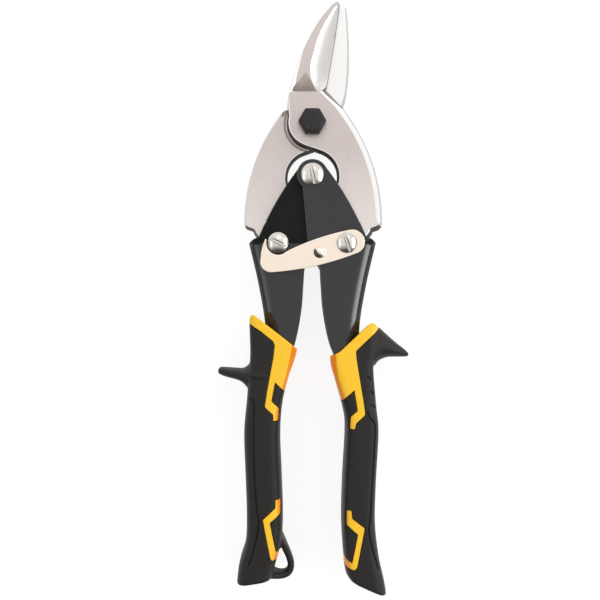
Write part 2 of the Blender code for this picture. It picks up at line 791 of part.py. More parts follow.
def print_least_gap(coil):
    """Print the spring's least gap to itself, turn to turn, in millimetres."""
    gaps = []
    for index, point in enumerate(coil):
        gaps += [(point - other).length for other in coil[index + WIRE_POINTS // 2:]]
    print("least spring gap, mm:", round((min(gaps) - 2 * SPRING_WIRE_RADIUS) * 1000, 3))


def web_top():
    """The top corner of the web's outer face on the right channel."""
    return RIGHT_PIVOT + Vector((WEB_OUT, WEB_UP))


def web_points():
    """The outer face of the right channel's web, from its top down to the end of its tail."""
    half = Vector((TAIL_WIDTH / 2, 0))
    tail = [Vector(point) + half for point in TAIL_PATH]
    return spline([web_top(), *WEB_PATH, *tail])


def channel_outline():
    """A right-hand channel seen from the front, both flanges alike."""
    half = Vector((TAIL_WIDTH / 2, 0))
    outer = web_points()
    tail = [Vector(point) - half for point in reversed(TAIL_PATH)]
    inner = spline([*tail, *INNER_PATH])
    tab_foot = Vector((-FLANGE_TAB_FOOT, -BLADE_PIVOT_DROP - FLANGE_TAB_DROP))
    drop_down = math.sqrt(FLANGE_BOSS_RADIUS ** 2 - FLANGE_TAB_TOP ** 2)
    left = math.atan2(-drop_down, -FLANGE_TAB_TOP) + 2 * math.pi
    boss = arc(HANDLE_PIVOT, FLANGE_BOSS_RADIUS, left, FLANGE_BOSS_END)
    shoulder = RIGHT_PIVOT + Vector((FLANGE_SHOULDER_OUT, WEB_UP))
    edge = bowed(boss[-1], shoulder, FLANGE_EDGE_BULGE)
    tab_corner = tab_foot + Vector((FLANGE_TAB_CUT / 2, -FLANGE_TAB_CUT))
    return [*boss, *edge, *outer, *inner, tab_corner, tab_foot]


def channel(name, is_right):
    """A pressed handle: two flanges joined by a web on the outer side, with a rounded bend."""
    front = FAR_FLANGE_OUTER if is_right else NEAR_FLANGE_OUTER
    back = -NEAR_FLANGE_OUTER if is_right else -FAR_FLANGE_OUTER
    outline = channel_outline()
    outer = web_points()
    inner_face = grown(outline, -SHEET_THICKNESS)
    first = outline.index(outer[0])
    inside = inner_face[first:first + len(outer) - 1]
    above = 2 * inside[0] - inside[1]
    pocket = [
        Vector((above.x, FAR)),
        above,
        *inside,
        Vector((inside[-1].x, -FAR)),
        Vector((-FAR, -FAR)),
        Vector((-FAR, FAR)),
    ]
    if not is_right:
        outline = mirrored(outline)
        outer = mirrored(outer)
        pocket = mirrored(pocket)
    made = plate(name, outline, back, front, bends=outer)
    inside_of = plate("pocket", pocket, back + SHEET_THICKNESS, front - SHEET_THICKNESS)
    combine(made, inside_of, "DIFFERENCE")
    drill(made, HANDLE_PIVOT, SCREW_BORE, back, front)
    drill(made, RIGHT_PIVOT if is_right else LEFT_PIVOT, SCREW_BORE, back, front)
    return made


def latch():
    """Flat latch that turns on the right pivot screw and hooks under the head of the left one."""
    end = RIGHT_PIVOT + Vector((LATCH_END_OUT, LATCH_END_UP))
    round_end = arc(end, LATCH_END_RADIUS, LATCH_END_FROM, LATCH_END_TO)
    notch = arc(LEFT_PIVOT, LATCH_NOTCH_RADIUS, LATCH_NOTCH_FROM, LATCH_NOTCH_TO)
    top = bowed(round_end[-1], notch[0], -LATCH_TOP_BULGE)
    hook_out = LEFT_PIVOT.x - LATCH_NOTCH_RADIUS - LATCH_HOOK_WIDTH
    hook_tip = Vector((notch[-1].x - LATCH_HOOK_WIDTH * LATCH_HOOK_TIP, LEFT_PIVOT.y + LATCH_HOOK_UP))
    floor = LEFT_PIVOT.y - LATCH_DEPTH
    heel = Vector((hook_out + LATCH_HEEL_RADIUS, floor + LATCH_HEEL_RADIUS))
    bend = arc(heel, LATCH_HEEL_RADIUS, LATCH_HEEL_FROM, LATCH_HEEL_TO)
    foot = bowed(bend[-1], round_end[0], -LATCH_FOOT_BULGE)
    outside = bowed(hook_tip, bend[0], -LATCH_HOOK_BULGE)
    outline = [*round_end, *top[:-1], *notch, hook_tip, *outside[:-1], *bend, *foot[:-1]]
    made = plate("latch", outline, LATCH_BACK, LATCH_FRONT)
    place = LEFT_PIVOT + Vector((0, -LATCH_NUB_DROP))
    place.x = RIGHT_PIVOT.x - LATCH_NUB_OUT
    nub = [(LATCH_NUB_RADIUS, LATCH_FRONT - LATCH_THICKNESS / 2)]
    for wide, high in LATCH_NUB_PROFILE:
        nub.append((LATCH_NUB_RADIUS * wide, LATCH_FRONT + LATCH_NUB_HEIGHT * high))
    combine(made, turned("nub", place, nub, sides=NUB_SIDES), "UNION")
    drill(made, RIGHT_PIVOT, SCREW_BORE, LATCH_BACK, LATCH_FRONT)
    return made


def rounded(value):
    """A cosine or sine drawn out towards a rounded rectangle."""
    return math.copysign(abs(value) ** (2 / GRIP_ROUNDNESS), value)


def grip_rings(stations, inset):
    """Sections down a grip, drawn in by an inset; the back is cut flat to rest on."""
    half_depth = GRIP_HALF_DEPTH + GRIP_LAND_CUT - inset
    floor = -GRIP_HALF_DEPTH + inset
    rings = []
    for x, y, width, slant in spline(stations):
        along = Vector((math.cos(math.radians(slant)), math.sin(math.radians(slant))))
        row = []
        for side in range(GRIP_SIDES):
            angle = 2 * math.pi * side / GRIP_SIDES
            across = Vector((x, y)) + along * rounded(math.cos(angle)) * (width / 2 - inset)
            row.append((*across, max(floor, rounded(math.sin(angle)) * half_depth)))
        rings.append(row)
    return rings


def capped_rings(stations):
    """Sections of a whole grip, with a smaller one past the last that rounds its lower end."""
    before = Vector(stations[-2][:2])
    last = Vector(stations[-1][:2])
    onward = (last - before).normalized() * GRIP_END_REACH
    x, y, width, slant = stations[-1]
    end = (x + onward.x, y + onward.y, width, slant)
    cap = grip_rings((stations[-1], end), GRIP_END_ROUND)[-1]
    return [*grip_rings(stations, 0), cap]


def horn(name, stations):
    """A thumb horn: elliptical sections that taper outwards."""
    rings = []
    for x, y, half_height, half_depth in spline(stations):
        turns = [2 * math.pi * side / HORN_SIDES for side in range(HORN_SIDES)]
        rings.append([(x, y + half_height * math.cos(t), half_depth * math.sin(t)) for t in turns])
    return loft(name, rings)


def lanyard_loop(name):
    """A flat band bent round the lanyard hole."""
    path = spline(LOOP_PATH)
    rings = []
    for index, point in enumerate(path):
        ahead = path[min(index + 1, len(path) - 1)] - path[max(index - 1, 0)]
        across = Vector((-ahead.y, ahead.x)).normalized() * LOOP_HALF_WIDTH
        row = []
        for side in range(LOOP_SIDES):
            angle = 2 * math.pi * side / LOOP_SIDES
            place = point + across * rounded(math.cos(angle))
            row.append((*place, LOOP_HALF_DEPTH * rounded(math.sin(angle))))
        rings.append(row)
    return loft(name, rings)


def beside(outline, edge):
    """An outline measured across from an edge, put in its place."""
    return [(edge + across, along) for across, along in outline]


def inlay(name, outline, growth):
    """A prism right through a grip over an inlay's outline."""
    points = [Vector(point) for point in outline]
    if growth:
        points = grown(points, growth)
    return plate(name, points, -GRIP_HALF_DEPTH - OVERRUN, GRIP_HALF_DEPTH + OVERRUN)


def grip(side, stations, horn_stations, inlays, is_right):
    """The two mouldings of a grip: an inner sleeve with inlays, and a cover with matching windows."""
    whole = loft("whole_grip", capped_rings(stations))
    combine(whole, horn("horn", horn_stations), "UNION")
    if not is_right:
        combine(whole, lanyard_loop("loop"), "UNION")
    top_down = shortened(stations, SLEEVE_TOP_INSET, SLEEVE_END_INSET)
    sleeve = loft(f"{side}_grip_sleeve", grip_rings(top_down, COVER_WALL + CLEARANCE))
    hollow = loft("hollow", grip_rings(shortened(stations, 0, SLEEVE_END_INSET - CLEARANCE), COVER_WALL))
    cover = copy_of(whole, f"{side}_grip_cover")
    combine(cover, hollow, "DIFFERENCE")
    for outline in inlays:
        raised = copy_of(whole, "raised")
        combine(raised, inlay("inlay", outline, 0), "INTERSECT")
        combine(sleeve, raised, "UNION")
        combine(cover, inlay("window", outline, CLEARANCE), "DIFFERENCE")
    outline = grown(channel_outline(), CLEARANCE)
    front = FAR_FLANGE_OUTER if is_right else NEAR_FLANGE_OUTER
    back = -NEAR_FLANGE_OUTER if is_right else -FAR_FLANGE_OUTER
    if not is_right:
        outline = mirrored(outline)
    combine(sleeve, plate("tail_hole", outline, back - CLEARANCE, front + CLEARANCE), "DIFFERENCE")
    drop(whole)
    return [sleeve, cover]


def shortened(stations, top, bottom):
    """The stations with the first and last drawn in along the grip."""
    moved = [list(station) for station in stations]
    for index, after, distance in ((0, 1, top), (-1, -2, bottom)):
        here = Vector(stations[index][:2])
        there = Vector(stations[after][:2])
        place = here + (there - here).normalized() * distance
        moved[index][0:2] = place
        share = distance / (there - here).length
        for slot in (2, 3):
            moved[index][slot] += (stations[after][slot] - stations[index][slot]) * share
    if bottom >= (Vector(stations[-1][:2]) - Vector(stations[-2][:2])).length:
        del moved[-2]
    return moved


def body_frame(name, centre, parent, offset):
    """An empty on a joint axis, which carries one moving body."""
    empty = bpy.data.objects.new(name, None)
    bpy.context.scene.collection.objects.link(empty)
    empty.location = (*(centre + offset), GRIP_HALF_DEPTH)
    if parent:
        empty.parent = parent
        empty.location -= parent.location
    return empty


def settle(pieces, frame, centre, finish):
    """Parent finished pieces to their body's frame, with their origins on its axis."""
    for piece in pieces:
        piece.data.transform(Matrix.Translation((-centre.x, -centre.y, 0)))
        piece.parent = frame
        piece.data.materials.clear()
        piece.data.materials.append(finish)
        if piece.type == "MESH":
            piece.data.shade_smooth()
            piece.data.set_sharp_from_angle(angle=SMOOTH_ANGLE)


def plan_offset():
    """What moves the main pivot so that the tool's plan is centred on the origin."""
    left = LEFT_HORN[-1][0]
    right = RIGHT_HORN[-1][0]
    bottom = min(point[1] for ring in capped_rings(RIGHT_GRIP) for point in ring)
    return Vector((-(left + right) / 2, -(JAW_REACH + bottom) / 2))


def main():
    """Build every piece and hang it on its body's frame."""
    clear_scene()
    steel = material("satin_steel", (0.66, 0.63, 0.61), 1.0, 0.35)
    nickel = material("bright_nickel", (0.80, 0.75, 0.68), 1.0, 0.22)
    oxide = material("black_oxide", (0.03, 0.03, 0.03), 0.7, 0.40)
    paint = material("black_coating", (0.035, 0.035, 0.037), 0.0, 0.38)
    yellow = material("yellow_moulding", (0.95, 0.55, 0.04), 0.0, 0.42)
    rubber = material("black_rubber", (0.035, 0.032, 0.030), 0.0, 0.60)

    offset = plan_offset()
    right = body_frame("right_handle_frame", HANDLE_PIVOT, None, offset)
    left = body_frame("left_handle_frame", HANDLE_PIVOT, right, offset)
    left.location = (0, 0, 0)
    front = body_frame("front_blade_frame", RIGHT_PIVOT, right, offset)
    rear = body_frame("rear_blade_frame", MAIN_PIVOT, right, offset)
    lock = body_frame("latch_frame", RIGHT_PIVOT, right, offset)

    settle([front_blade()], front, RIGHT_PIVOT, steel)
    settle([rear_blade()], rear, MAIN_PIVOT, steel)
    nut_top = -(BLADE_OUTER + CLEARANCE)
    nut = hex_nut(
        "main_pivot_nut",
        MAIN_PIVOT,
        BOLT_HEAD_FLATS,
        BOLT_RADIUS + PIN_FIT,
        nut_top - BOLT_NUT_HEIGHT,
        nut_top,
    )
    settle([main_pivot_bolt(), nut], front, RIGHT_PIVOT, oxide)
    settle([channel("right_channel", True)], right, HANDLE_PIVOT, paint)
    settle([channel("left_channel", False)], left, HANDLE_PIVOT, paint)
    for piece in pivot_hardware():
        frame = left if piece.name.startswith("left") else right
        settle([piece], frame, HANDLE_PIVOT, nickel)
    settle([opening_spring()], right, HANDLE_PIVOT, steel)
    settle([latch()], lock, RIGHT_PIVOT, nickel)
    right_inlays = (
        (*beside(RIGHT_CORNER_INLAY, RIGHT_COLLAR_EDGE), *RIGHT_COLLAR_INLAY),
        beside(RIGHT_END_INLAY, RIGHT_END_EDGE),
    )
    left_inlays = (
        (
            *LEFT_COLLAR_INLAY,
            *beside(LEFT_STEM_INLAY, LEFT_STEM_EDGE),
            *LEFT_SIDE_INLAY,
            *beside(LEFT_CORNER_INLAY, LEFT_COLLAR_EDGE),
        ),
        beside(LEFT_END_INLAY, LEFT_END_EDGE),
    )
    for frame, pieces in (
        (right, grip("right", RIGHT_GRIP, RIGHT_HORN, right_inlays, True)),
        (left, grip("left", LEFT_GRIP, LEFT_HORN, left_inlays, False)),
    ):
        sleeve, cover = pieces
        settle([sleeve], frame, HANDLE_PIVOT, yellow)
        settle([cover], frame, HANDLE_PIVOT, rubber)


if __name__ == "__main__":
    main()
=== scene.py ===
"""Aviation snips with compound levers, closed and latched, seen straight from above on a white floor.

Shapes are drawn in design coordinates, with the main pivot at x = 0, y = 0 and the blades meeting at
z = 0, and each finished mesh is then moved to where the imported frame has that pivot. All sizes are in
metres.
"""

import logging
import math
from dataclasses import dataclass, replace
from enum import Enum, IntEnum
from typing import Callable, Sequence

import bpy
from mathutils import Matrix, Vector

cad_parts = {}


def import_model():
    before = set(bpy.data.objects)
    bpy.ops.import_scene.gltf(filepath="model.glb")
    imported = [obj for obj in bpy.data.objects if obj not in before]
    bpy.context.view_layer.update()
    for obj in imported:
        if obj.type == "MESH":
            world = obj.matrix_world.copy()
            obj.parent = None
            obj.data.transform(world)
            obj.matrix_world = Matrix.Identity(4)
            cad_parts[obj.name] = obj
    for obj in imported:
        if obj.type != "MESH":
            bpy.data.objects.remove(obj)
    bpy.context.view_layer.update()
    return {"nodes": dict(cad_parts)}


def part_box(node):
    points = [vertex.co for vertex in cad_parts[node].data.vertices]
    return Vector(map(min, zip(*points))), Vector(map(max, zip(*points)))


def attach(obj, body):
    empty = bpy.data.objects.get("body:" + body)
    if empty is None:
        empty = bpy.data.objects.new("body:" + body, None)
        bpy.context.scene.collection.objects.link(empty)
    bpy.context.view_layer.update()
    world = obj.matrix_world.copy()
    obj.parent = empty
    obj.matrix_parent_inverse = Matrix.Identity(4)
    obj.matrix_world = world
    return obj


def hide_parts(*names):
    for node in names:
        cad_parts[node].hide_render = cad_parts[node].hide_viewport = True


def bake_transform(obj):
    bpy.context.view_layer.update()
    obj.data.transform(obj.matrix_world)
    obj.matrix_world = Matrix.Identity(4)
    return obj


LOG = logging.getLogger("snips")
OVERRUN = 0.0010
FAR = 0.3
MERGE = 1e-7
SNAP = 1e-6
TINY = 1e-9
END_TAPER = 0.15
Piece = bpy.types.Object
Finish = bpy.types.Material
Socket = bpy.types.NodeSocket
Node = bpy.types.Node
Tree = bpy.types.NodeTree
Colour = tuple[float, float, float]
Rows = Sequence[Sequence[float]]
Points = list[Vector]
Wanted = Callable[[Vector, Vector], bool]


class Side(Enum):
    """Which handle a piece belongs to; the value is the sign of x on that side."""

    RIGHT = 1
    LEFT = -1

    @property
    def label(self) -> str:
        """The side in the names of nodes and bodies."""
        return self.name.lower()


class Cut(Enum):
    """How one solid acts on another."""

    TAKE = "DIFFERENCE"
    JOIN = "UNION"
    KEEP = "INTERSECT"


class Tone(IntEnum):
    """Number of a finish on a blade."""

    SATIN = 0
    GROUND = 1
    HOLLOW = 2
    # Painted shade on walls in the throat, under the heel and facing the cut.
    EDGE = 3
    # Painted shade on the step triangle, the notch wall and the rub ring.
    STEP = 4
    # Painted light on walls that look left.
    RIM = 5
    # Painted shade on walls that look right.
    RIM_DARK = 6


class Draw:
    """Outlines in the plane of the tool."""

    ARC_STEP = math.radians(3)
    LEAST_MITRE = 0.5
    EASE_SHARE = 0.45
    PLACES = 6

    @staticmethod
    def arc(centre: Vector, radius: float, start: float, end: float) -> Points:
        """Points on a circle.

        Args:
            centre: Middle of the circle.
            radius: Its radius.
            start: First angle in radians.
            end: Last angle in radians.

        Returns:
            The points, both ends included.
        """
        steps = max(2, math.ceil(abs(end - start) / Draw.ARC_STEP))
        turns = [start + (end - start) * step / steps for step in range(steps + 1)]
        return [centre + radius * Vector((math.cos(turn), math.sin(turn))) for turn in turns]

    @staticmethod
    def circle(centre: Vector, radius: float, sides: int = 64) -> Points:
        """A closed round outline."""
        return [centre + radius * Vector((math.cos(turn), math.sin(turn))) for turn in Draw.turns(sides)]

    @staticmethod
    def turns(sides: int) -> list[float]:
        """Angles evenly all round."""
        return [math.tau * side / sides for side in range(sides)]

    @staticmethod
    def powered(value: float, power: float) -> float:
        """A power of a value, with the value's sign."""
        return math.copysign(abs(value) ** power, value)

    @staticmethod
    def bowed(start: Vector, end: Vector, bulge: float, steps: int = 24) -> Points:
        """A shallow bow.

        Args:
            start: Where it starts.
            end: Where it ends.
            bulge: How far it swells to the left of the way.
            steps: Number of pieces.

        Returns:
            The points after start, up to end.
        """
        along = end - start
        left = Draw.left(along)
        shares = [step / steps for step in range(1, steps + 1)]
        return [start + along * share + left * bulge * 4 * share * (1 - share) for share in shares]

    @staticmethod
    def spline(points: Rows, steps: int = 6) -> Points:
        """A smooth run through points of any dimension.

        Args:
            points: The knots.
            steps: Pieces between two knots.

        Returns:
            The points, both ends included.
        """
        knots = [Vector(point) for point in points]
        padded = [2 * knots[0] - knots[1], *knots, 2 * knots[-1] - knots[-2]]
        run = []
        for index in range(len(knots) - 1):
            a, b, c, d = padded[index:index + 4]
            for step in range(steps):
                t = step / steps
                bend = (2 * a - 5 * b + 4 * c - d) * t * t + (3 * b - a - 3 * c + d) * t ** 3
                run.append((2 * b + (c - a) * t + bend) / 2)
        run.append(knots[-1])
        return run

    @staticmethod
    def grown(outline: Points, distance: float) -> Points:
        """A closed outline moved outwards.

        Args:
            outline: The outline.
            distance: How far, negative for inwards.

        Returns:
            The moved outline, with mitred corners.
        """
        count = len(outline)
        area = sum(outline[i - 1].cross(outline[i]) for i in range(count))
        side = distance if area > 0 else -distance
        moved = []
        for index, point in enumerate(outline):
            into = (point - outline[index - 1]).normalized()
            away = (outline[(index + 1) % count] - point).normalized()
            normal = Vector((into.y + away.y, -into.x - away.x)).normalized()
            mitre = max(Draw.LEAST_MITRE, normal.dot(Vector((into.y, -into.x))))
            moved.append(point + normal * side / mitre)
        return moved

    @staticmethod
    def eased(outline: Points, radius: float, steps: int = 5) -> Points:
        """A closed outline with its corners rounded.

        Args:
            outline: The outline.
            radius: How far from a corner the rounding starts.
            steps: Pieces in each rounding.

        Returns:
            The rounded outline.
        """
        count = len(outline)
        run = []
        for index, corner in enumerate(outline):
            back = outline[index - 1] - corner
            ahead = outline[(index + 1) % count] - corner
            first = corner + back.normalized() * min(radius, back.length * Draw.EASE_SHARE)
            last = corner + ahead.normalized() * min(radius, ahead.length * Draw.EASE_SHARE)
            for step in range(steps + 1):
                t = step / steps
                run.append(first.lerp(corner, t).lerp(corner.lerp(last, t), t))
        return run

    @staticmethod
    def mirrored(outline: Points) -> Points:
        """The outline on the other side of the centre line."""
        return [Vector((-point.x, point.y)) for point in outline]

    @staticmethod
    def left(way: Vector) -> Vector:
        """The direction to the left of a way, with a length of one."""
        return Vector((-way.y, way.x)).normalized()

    @staticmethod
    def headings(run: Points) -> Points:
        """The way ahead at each point of a run, from the point before it to the point after it."""
        return [after - before for before, after in zip([run[0], *run], [*run[1:], run[-1]])]

    @staticmethod
    def cap(radius: float, height: float, top: float, steps: int) -> list[tuple[float, float]]:
        """The profile of a dome.

        Args:
            radius: Radius of its foot.
            height: How far it rises.
            top: Height of its crown.
            steps: Number of pieces.

        Returns:
            Pairs of radius and height, from its foot to its crown.
        """
        ball = (radius ** 2 + height ** 2) / (2 * height)
        outs = [radius * (1 - step / steps) for step in range(steps + 1)]
        return [(out, top - ball + math.sqrt(ball ** 2 - out ** 2)) for out in outs]

    @staticmethod
    def key(point: Vector) -> tuple[float, float]:
        """A point's place in the plane, rounded so that it can be looked up."""
        return round(point.x, Draw.PLACES), round(point.y, Draw.PLACES)


class Edges:
    """Tests that pick edges by their two ends."""

    @staticmethod
    def above(height: float) -> Wanted:
        """Edges at a height or over it."""
        return lambda a, b: min(a.z, b.z) > height - SNAP

    @staticmethod
    def below(height: float) -> Wanted:
        """Edges at a height or under it."""
        return lambda a, b: max(a.z, b.z) < height + SNAP

    @staticmethod
    def level(a: Vector, b: Vector) -> bool:
        """Whether an edge is level."""
        return abs(a.z - b.z) < SNAP

    @staticmethod
    def upright(a: Vector, b: Vector) -> bool:
        """Whether an edge goes up."""
        return abs(a.z - b.z) > SNAP

    @staticmethod
    def among(points: Sequence[Vector], apart: Sequence[Vector] = ()) -> Wanted:
        """Edges whose ends, seen from the front, are both among some points and not among others."""
        places = {Draw.key(point) for point in points} - {Draw.key(point) for point in apart}
        return lambda a, b: Draw.key(a) in places and Draw.key(b) in places

    @staticmethod
    def all_of(*tests: Wanted) -> Wanted:
        """Edges that all of these tests pick."""
        return lambda a, b: all(test(a, b) for test in tests)


class Bench:
    """Modelling steps that the pieces share, each done with Blender's own operators."""

    CHAMFER_PLAY = 0.2
    ROUND, FLAT = 0.5, 0.25
    FACE_WEIGHT = 100
    START_SIZE = 0.01

    @staticmethod
    def pick(piece: Piece) -> None:
        """Make one piece the only one selected, and active.

        Args:
            piece: The piece.
        """
        bpy.ops.object.select_all(action="DESELECT")
        piece.select_set(True)
        bpy.context.view_layer.objects.active = piece

    @staticmethod
    def edit(piece: Piece) -> None:
        """Open a piece in edit mode with everything on it selected.

        Args:
            piece: The piece.
        """
        Bench.pick(piece)
        bpy.ops.object.mode_set(mode="EDIT")
        bpy.ops.mesh.select_mode(type="VERT")
        bpy.ops.mesh.select_all(action="SELECT")

    @staticmethod
    def close(piece: Piece, merge: float = MERGE) -> Piece:
        """Merge doubles, turn all faces outwards and leave edit mode.

        Args:
            piece: The piece being edited.
            merge: Distance below which points are one.

        Returns:
            The piece.
        """
        bpy.ops.mesh.select_all(action="SELECT")
        bpy.ops.mesh.remove_doubles(threshold=merge)
        bpy.ops.mesh.normals_make_consistent(inside=False)
        bpy.ops.object.mode_set(mode="OBJECT")
        return piece

    @staticmethod
    def loop(name: str, points: Rows, filled: bool) -> Piece:
        """A circle whose points are put in their places.

        Args:
            name: Name of the new object.
            points: Places in space.
            filled: Whether a face fills the loop.

        Returns:
            The new object.
        """
        bpy.ops.object.select_all(action="DESELECT")
        fill = "NGON" if filled else "NOTHING"
        bpy.ops.mesh.primitive_circle_add(vertices=len(points), radius=Bench.START_SIZE, fill_type=fill)
        piece = bpy.context.object
        piece.name = name
        for vert, point in zip(piece.data.vertices, points):
            vert.co = point
        return piece

    @staticmethod
    def plate(name: str, outline: Points, bottom: float, top: float) -> Piece:
        """A flat outline extruded upwards.

        Args:
            name: Name of the new object.
            outline: The outline seen from the front.
            bottom: Height of its lower face.
            top: Height of its upper face.

        Returns:
            The plate.
        """
        piece = Bench.loop(name, [(*point, bottom) for point in outline], filled=True)
        Bench.edit(piece)
        bpy.ops.mesh.extrude_region_move(TRANSFORM_OT_translate={"value": (0, 0, top - bottom)})
        return Bench.close(piece)

    @staticmethod
    def turned(name: str, centre: Vector, profile: Sequence[tuple[float, float]], steps: int = 64) -> Piece:
        """A profile spun round an upright axis.

        Args:
            name: Name of the new object.
            centre: The axis seen from the front.
            profile: Pairs of radius and height, in order.
            steps: Pieces round the axis.

        Returns:
            The turned solid; a profile that doesn't start and end on the axis gets flat ends.
        """
        run = list(profile)
        if run[0][0] > 0:
            run.insert(0, (0.0, run[0][1]))
        if run[-1][0] > 0:
            run.append((0.0, run[-1][1]))
        piece = Bench.loop(name, [(centre.x + r, centre.y, z) for r, z in run], filled=False)
        first, last = 0, len(run) - 1
        for edge in piece.data.edges:
            edge.select = set(edge.vertices) == {first, last}
        Bench.pick(piece)
        bpy.context.tool_settings.mesh_select_mode = (False, True, False)
        for vert in piece.data.vertices:
            vert.select = vert.index in (first, last)
        bpy.ops.object.mode_set(mode="EDIT")
        bpy.ops.mesh.delete(type="EDGE")
        bpy.ops.mesh.select_all(action="SELECT")
        bpy.ops.mesh.spin(steps=steps, angle=math.tau, center=(*centre, 0), axis=(0, 0, 1))
        return Bench.close(piece, merge=SNAP)

    @staticmethod
    def loft(name: str, rings: Sequence[Rows]) -> Piece:
        """A grid wrapped over closed rings, with both ends filled.

        Args:
            name: Name of the new object.
            rings: Rings with the same number of points.

        Returns:
            The closed solid.
        """
        bpy.ops.object.select_all(action="DESELECT")
        sides = len(rings[0])
        rows = len(rings) - 1
        bpy.ops.mesh.primitive_grid_add(x_subdivisions=sides, y_subdivisions=rows, size=Bench.START_SIZE)
        piece = bpy.context.object
        piece.name = name
        places = [point for ring in rings for point in (*ring, ring[0])]
        for vert, place in zip(piece.data.vertices, places):
            vert.co = place
        Bench.edit(piece)
        bpy.ops.mesh.remove_doubles(threshold=MERGE)
        bpy.ops.mesh.fill_holes(sides=0)
        return Bench.close(piece)

    @staticmethod
    def combine(piece: Piece, tool: Piece, cut: Cut) -> Piece:
        """Cut, join or keep with another solid, which is then dropped.

        Args:
            piece: The solid that stays.
            tool: The solid that acts on it.
            cut: How it acts.

        Returns:
            The piece.
        """
        Bench.applied(piece, "BOOLEAN", operation=cut.value, solver="EXACT", object=tool)
        bpy.data.objects.remove(tool, do_unlink=True)
        return piece

    @staticmethod
    def drill(piece: Piece, centre: Vector, radius: float, bottom: float, top: float) -> Piece:
        """Cut a round hole between two heights."""
        tool = Bench.plate("drill", Draw.circle(centre, radius), bottom - OVERRUN, top + OVERRUN)
        return Bench.combine(piece, tool, Cut.TAKE)

    @staticmethod
    def bevel(piece: Piece, wanted: Wanted, width: float, segments: int, profile: float = ROUND) -> Piece:
        """Bevel the edges that a test on their two ends picks.

        Args:
            piece: The piece.
            wanted: Says whether the edge between two points is bevelled.
            width: Width of the bevel.
            segments: Its number of pieces.
            profile: Its shape, ROUND or FLAT.

        Returns:
            The piece.
        """
        mesh = piece.data
        Bench.pick(piece)
        bpy.context.tool_settings.mesh_select_mode = (False, True, False)
        for face in mesh.polygons:
            face.select = False
        for vert in mesh.vertices:
            vert.select = False
        for edge in mesh.edges:
            a, b = (mesh.vertices[index] for index in edge.vertices)
            edge.select = wanted(a.co, b.co)
            if edge.select:
                a.select = True
                b.select = True
        bpy.ops.object.mode_set(mode="EDIT")
        bpy.ops.mesh.bevel(
            offset_type="OFFSET",
            offset=width,
            segments=segments,
            profile=profile,
            affect="EDGES",
            clamp_overlap=False,
        )
        return Bench.close(piece, merge=SNAP)

    @staticmethod
    def chamfer(piece: Piece, wanted: Wanted, width: float, depth: float, top: float) -> Piece:
        """Cut a flat chamfer that is wider than it is deep along edges of a level face.

        Args:
            piece: The piece.
            wanted: Says whether the edge between two points is chamfered.
            width: Width of the chamfer seen from the front.
            depth: How far it goes down.
            top: Height of the level face.

        Returns:
            The piece.
        """
        Bench.bevel(piece, wanted, width, 1)
        for vert in piece.data.vertices:
            if abs(vert.co.z - top + width) < width * Bench.CHAMFER_PLAY:
                vert.co.z = top - depth
        return piece

    @staticmethod
    def split(piece: Piece, height: float) -> None:
        """Cut all faces along a level line across the tool.

        Args:
            piece: The piece.
            height: Where the line is along the tool.
        """
        Bench.edit(piece)
        bpy.ops.mesh.bisect(plane_co=(0, height, 0), plane_no=(0, 1, 0))
        bpy.ops.object.mode_set(mode="OBJECT")

    @staticmethod
    def joined(pieces: Sequence[Piece]) -> Piece:
        """Separate solids put into one object.

        Args:
            pieces: The solids.

        Returns:
            The first one, which holds them all.
        """
        Bench.pick(pieces[0])
        for piece in pieces:
            piece.select_set(True)
        bpy.ops.object.join()
        return pieces[0]

    @staticmethod
    def copied(piece: Piece, name: str) -> Piece:
        """A separate copy with its own mesh.

        Args:
            piece: The piece.
            name: Name of the copy.

        Returns:
            The copy.
        """
        twin = bpy.data.objects.new(name, piece.data.copy())
        bpy.context.scene.collection.objects.link(twin)
        return twin

    @staticmethod
    def applied(piece: Piece, kind: str, **settings: object) -> Piece:
        """Add a modifier with these settings and apply it.

        Args:
            piece: The piece.
            kind: Kind of modifier.
            settings: Its properties.

        Returns:
            The piece.
        """
        change = piece.modifiers.new(kind.lower(), kind)
        for key, value in settings.items():
            setattr(change, key, value)
        Bench.pick(piece)
        bpy.ops.object.modifier_apply(modifier=change.name)
        return piece

    @staticmethod
    def smooth(piece: Piece, angle: float = 30, weighted: bool = True) -> Piece:
        """Shade smooth except across sharp edges.

        Args:
            piece: The piece.
            angle: Edges sharper than this many degrees stay sharp.
            weighted: Whether large faces keep their own normals.

        Returns:
            The piece.
        """
        Bench.pick(piece)
        bpy.ops.object.shade_smooth_by_angle(angle=math.radians(angle))
        if weighted:
            Bench.applied(piece, "WEIGHTED_NORMAL", keep_sharp=True, weight=Bench.FACE_WEIGHT)
        return piece


@dataclass(frozen=True)
class Layers:
    """Heights of the stacked sheets above the plane where the blades meet."""

    clearance: float = 0.0003
    blade: float = 0.0042
    sheet: float = 0.0018
    latch: float = 0.0015

    @property
    def blade_inner(self) -> float:
        """Inner face of a blade."""
        return self.clearance / 2

    @property
    def blade_outer(self) -> float:
        """Outer face of a blade."""
        return self.blade_inner + self.blade

    @property
    def near_inner(self) -> float:
        """Inner face of the flange next to a blade."""
        return self.blade_outer + self.clearance

    @property
    def near_outer(self) -> float:
        """Outer face of the flange next to a blade."""
        return self.near_inner + self.sheet

    @property
    def far_inner(self) -> float:
        """Inner face of the outer flange."""
        return self.near_outer + self.clearance

    @property
    def far_outer(self) -> float:
        """Outer face of the outer flange."""
        return self.far_inner + self.sheet

    @property
    def latch_back(self) -> float:
        """Back of the latch."""
        return self.far_outer + self.clearance

    @property
    def latch_front(self) -> float:
        """Front of the latch."""
        return self.latch_back + self.latch


